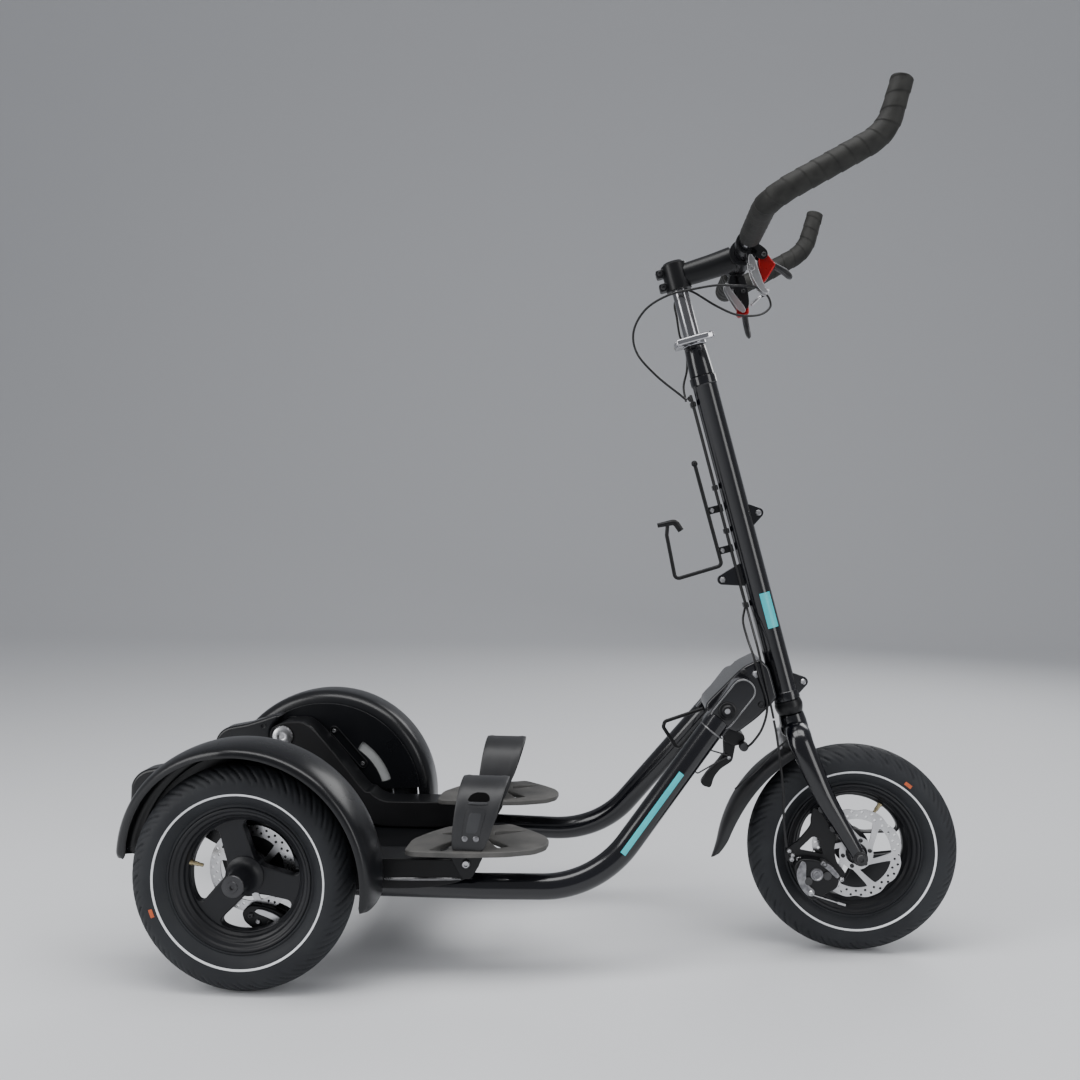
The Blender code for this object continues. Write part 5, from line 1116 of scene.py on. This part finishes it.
# Clamp: a polished split collar round the sleeve, drawn together by a screw with a brass nut and
# closed by a cam lever that wraps round to the front.
CLAMP_HEIGHT = 815.5
collar = [(15.4, -6.8), (18.2, -6.8), (19, -6), (19, 5), (18.2, 5.8), (15.4, 5.8)]
spun("clamp_band", column_spot(0, 0, CLAMP_HEIGHT), collar, chrome_look, "steering", "clamp_collar", steps=72)
for name, low, high in (("near", -18.8, -5.2), ("far", -3.6, 9.8)):
    sheet("clamp_lug_" + name, [softened(box_outline(-29.8, low, -16.5, high), 0.12, 1)], 11.6, 1.6, 3,
          column_spot(0, 0, CLAMP_HEIGHT - 0.5), chrome_look, "steering")
nut = [(0, 7.2), (3, 7.2), (3.4, 5), (5.2, 4.8), (5.5, 4), (5.5, 0), (0, 0)]
spun("clamp_nut", column_place @ facing(-24.5, 9.8, CLAMP_HEIGHT, 1), nut, brass_look, "steering", steps=32,
     slot="polished_steel")
cam = [(-5, -5), (6, -5.8), (30, -7.2), (44, -6), (54, -2), (56, 1.5), (50, 1), (40, -1.5), (28, -3),
       (6, 4.5), (-3, 5.8)]
sheet("clamp_cam", [softened(cam, 0.2)], 10.4, 3, 5, column_spot(-24.5, -26.2, CLAMP_HEIGHT), chrome_look,
      "clamp_lever", "clamp_lever")


# Stem: a cast body clamps the post with two bolted ears at its back and runs forward to a clamp
# round the bar, closed by a front cap with four screws.
post_look = finish("post_look", (0.30, 0.30, 0.31), (0.24, 0.24, 0.25), 0.16, metallic=1.0,
                   clouds=14, grain=700, bump=0.01)
post = [(0, 600.2), (11.8, 600.2), (12.4, 601), (12.4, 938.5), (0, 938.5)]
spun("post_tube", column_place, post, post_look, "handlebars", "handlebar_post", steps=64)
socket = [(12.8, 899), (19, 899), (20, 900), (20, 940), (19, 941.2), (17, 942), (15, 944.5), (12, 944.8),
          (6, 944.8), (5.5, 943), (0, 943), (0, 939.2), (12.8, 939.2)]
spun("stem_socket", column_place, socket, satin_look, "handlebars", "stem", steps=64)
neck = through([(12, 0, 921, 17.6), (30, 0, 921.3, 18.4), (60, 0, 922.5, 19), (85, 0, 924.3, 19.6),
                (90.5, 0, 924.8, 19.6)])
tube("stem_neck", on_column(neck[:, :3]), neck[:, 3], 48, satin_look, "handlebars")
grip = [(13.1, -20.8), (19.7, -20.8), (20.5, -20), (20.5, 20), (19.7, 20.8), (13.1, 20.8)]
spun("stem_bar_clamp", facing(bar_middle[0], 0, bar_middle[2], 1), grip, satin_look, "handlebars", steps=64)
for k, height in enumerate((909, 931)):
    sheet("stem_ear_%d" % k, [softened(box_outline(-29.8, -9.2, -15, 9.2), 0.15, 1)], 12.8, 2.2, 3,
          column_spot(0, 0, height), satin_look, "handlebars")
    bolt("stem_ear_bolt_%d" % k, column_place @ facing(-24, -9.2, height, -1), 4.2, 3.2, screw_look,
         "handlebars")
for k, (height, left) in enumerate(((12, -13.5), (12, 13.5), (-12, -13.5), (-12, 13.5))):
    nose = column_spot(BAR_REACH + 16, left, BAR_HEIGHT + height) @ Matrix.Rotation(math.pi / 2, 4, "Y")
    bolt("stem_cap_screw_%d" % k, nose, 4, 5.2, steel_look, "handlebars")


# Brake levers: a silver clamp and body hang from the bar beside the stem on each side, and each
# carries a short lever with a red anodised root and a grey blade.
blade_look = finish("blade_look", (0.050, 0.050, 0.053), (0.080, 0.080, 0.083), 0.30,
                    metallic=0.8, clouds=50)
silver_look = finish("cast_silver_look", (0.62, 0.62, 0.63), (0.50, 0.50, 0.51), 0.32,
                     metallic=1.0, clouds=40)
red_look = finish("red_anodised_look", (0.42, 0.012, 0.014), (0.30, 0.010, 0.012), 0.28,
                  metallic=0.7, clouds=60)
stub_corners = [(8, -14), (13, 4), (25.5, 2), (30, -6), (29, -19), (20, -20)]
band = [(13.1, -8.6), (16.6, -8.6), (17.2, -8), (17.2, 8), (16.6, 8.6), (13.1, 8.6)]
collet = [(0, 0.6), (2, 0.6), (2.3, 2.2), (4, 2.2), (4.5, 1.4), (4.5, 0), (0, 0)]
lever_parts = {
    "right": (-1, 42, 0.84, (30.6, -25.3, 9.8),
              [(12, -9), (13.5, 8.5), (25, 10), (36, 9.8), (43, 5), (43, -1.5), (38, -6), (25, -8)],
              [(15, -12), (22.6, -9), (43.5, -18), (60.7, -25.5), (74.2, -31.5), (89, -35), (82.5, -40.5),
               (66.3, -39.5), (47.8, -33.5), (28.2, -24)],
              [(31.2, 5.8), (35, 8), (56, 5), (64, 4.5), (65.5, -2), (70.5, -24), (67, -30), (56, -24),
               (33, -8)],
              [(56, 4.5), (66, 7), (86, 10.8), (99, 9), (102, 4), (96, 1), (80, 0.5), (64, -2)]),
    "left": (1, 77, 1.17, (51, -3.6, -9.8),
             [(12, -9), (13.5, 8.5), (25, 10), (36, 9.8), (54, 7.5), (61, 3.5), (60, -6), (38, -10),
              (25, -10)],
             [(20, -25), (20, -18), (27.4, -18), (42.1, -9.6), (61.2, 0.5), (66.5, -4.5), (60, -13),
              (42.9, -20.5), (27.4, -26.2)],
             [(31.2, 5.8), (35, 8), (60, 6), (68, 4), (69, -4), (70, -13), (65, -16.5), (56, -12), (33, -6)],
             [(60, 4.5), (70, 2), (86, 0.5), (99, 0), (102, -4), (96, -8), (80, -8.5), (64, -7)])}
over = Matrix.Rotation(math.pi, 4, "X")
for name, (side, drop, stretch, eye, knuckle, cheek, root, blade) in lever_parts.items():
    seat = (Matrix.Translation((bar_middle[0], side * 69, bar_middle[2]))
            @ Matrix.Rotation(math.radians(drop), 4, "Y") @ facing(0, 0, 0, -1))
    spun("perch_band_" + name, seat, band, satin_look, "handlebars", "brake_perch_" + name)
    stub, knuckle, cheek, root, blade = (np.array(outline) * (stretch, 1)
                                         for outline in (stub_corners, knuckle, cheek, root, blade))
    sheet("perch_body_" + name, [softened(stub, 0.2)], 17.6, 3, 3, seat, satin_look, "handlebars",
          slot="polished_steel")
    for part, outline, lift, look in (("knuckle", knuckle, 7.8, satin_look),
                                      ("cheek", cheek, 8.4, silver_look)):
        for k in (0, 1):
            sheet("perch_%s_%s_%d" % (part, name, k), [softened(outline, 0.2)], 2, 0.6, 2,
                  seat @ Matrix.Translation((0, 0, lift * (2 * k - 1))), look, "handlebars")
    lever = "brake_lever_" + name
    sheet("lever_root_" + name, [softened(root, 0.18)], 13, 2.6, 3, seat, red_look, lever, lever)
    sheet("lever_blade_" + name, [softened(blade, 0.2)], 11, 2.8, 3, seat, blade_look, lever)
    eye = seat @ Matrix.Translation(eye)
    spun("perch_eye_" + name, eye if side < 0 else eye @ over, collet, silver_look, "handlebars", steps=32)
    pivot = seat @ Matrix.Translation((36 * stretch, 2, 0))
    for k, way in ((1, Matrix.Identity(4)), (0, over)):
        bolt("lever_pivot_%s_%d" % (name, k), pivot @ way @ Matrix.Translation((0, 0, 8.7)), 3.6, 1.8,
             screw_look, "handlebars")


# Hoses: two thin black brake hoses loop from the levers to the back of the column, run down it under
# clips, and part for the rear brakes and the front caliper.
hose_look = finish("hose_look", (0.006, 0.006, 0.0065), (0.010, 0.010, 0.011), 0.36, clouds=50,
                   grain=1600, shine=0.4)
behind, clear, spread = -25, -33.6, 7.2
right_top = [(734, -69, 1013), (720, -65, 1018), (699, -59, 1021), (669.3, -46, 1025), (633.9, -37, 1021.5),
             (595.9, -30, 1014), (562, -23, 994), (544, -15, 962), (550, -9, 928), (580, -6, 894),
             (617, -6.4, 864)]
right_low = on_column([(clear, -spread, 729)])
left_top = [(749, 57.5, 1030), (760, 57.2, 1032.5), (765.2, 55, 1014.3), (747.1, 48, 999.4),
            (711.6, 40, 997.6), (676.5, 32, 1010.5), (639.3, 27, 1031.8), (622.5, 26, 1033.9),
            (610, 26, 1014.4), (613.5, 27.5, 990.8), (618.6, 29, 962.3)]
left_low = on_column([(-11, 31, 825), (-12, 31, 800), (-18, 28, 778), (-30, 19, 754), (clear, spread, 729)])
rear_top = on_column([(-29.6, spread, 733.5), (-27, spread, 727.5), (behind, spread, 720),
                      (behind, spread, 550), (behind, spread, 420), (behind, spread, 395), (-35, 1, 372),
                      (-38.5, -28, 348), (-38.5, -50, 322), (-38.5, -52.5, 290)])
rear_low = [(749, -52.5, 395), (749, -52.5, 372), (742, -50, 348), (731, -44, 329), (724, -35, 319)]
front_top = on_column([(-29.6, -spread, 733.5), (-27, -spread, 727.5), (behind, -spread, 720),
                       (behind, -spread, 550), (behind, -spread, 410), (behind, -spread, 390),
                       (-27, -28, 360), (-29, -48, 328), (-31, -50.5, 285), (-32, -50.5, 245),
                       (-33, -50.5, 222.5)])
front_low = on_column([(-33.4, -50.5, 219.5), (-36, -52, 190), (-46, -57, 120), (-58, -58, 70),
                       (-64, -56, 30)])
for name, spots, body, node in (
        ("right_hose_loop", [*right_top, *right_low], "handlebars", "brake_hose_upper_right"),
        ("left_hose_loop", [*left_top, *left_low], "handlebars", "brake_hose_upper_left"),
        ("rear_hose_run", [*rear_top, *rear_low], "column", "rear_brake_hose"),
        ("front_hose_run", front_top, "column", "front_brake_hose"),
        ("front_hose_end", front_low, "steering", "front_brake_hose_lower")):
    tube(name, through(spots, 12), 1.8, 16, hose_look, body, node)
ribs = np.array([2.2, 3.2, 2.6, 3.2, 2.6, 3.2, 2.6, 3, 2.4])
for name, first, last in (("right", (734, -69, 1013), (744, -69, 1010.5)),
                          ("left", (735, 57.5, 1017), (750, 57.5, 1030.8))):
    tube("cable_barrel_" + name, np.linspace(first, last, 9), ribs, 20, steel_look, "handlebars",
         start_side=(0, 0, 1))
for k, height in enumerate((720, 585, 515, 395)):
    sheet("hose_clip_%d" % k, [racetrack((0, -spread), (0, spread), 4.2)], 8, 1.2, 2,
          column_spot(behind, 0, height), satin_look, "column")
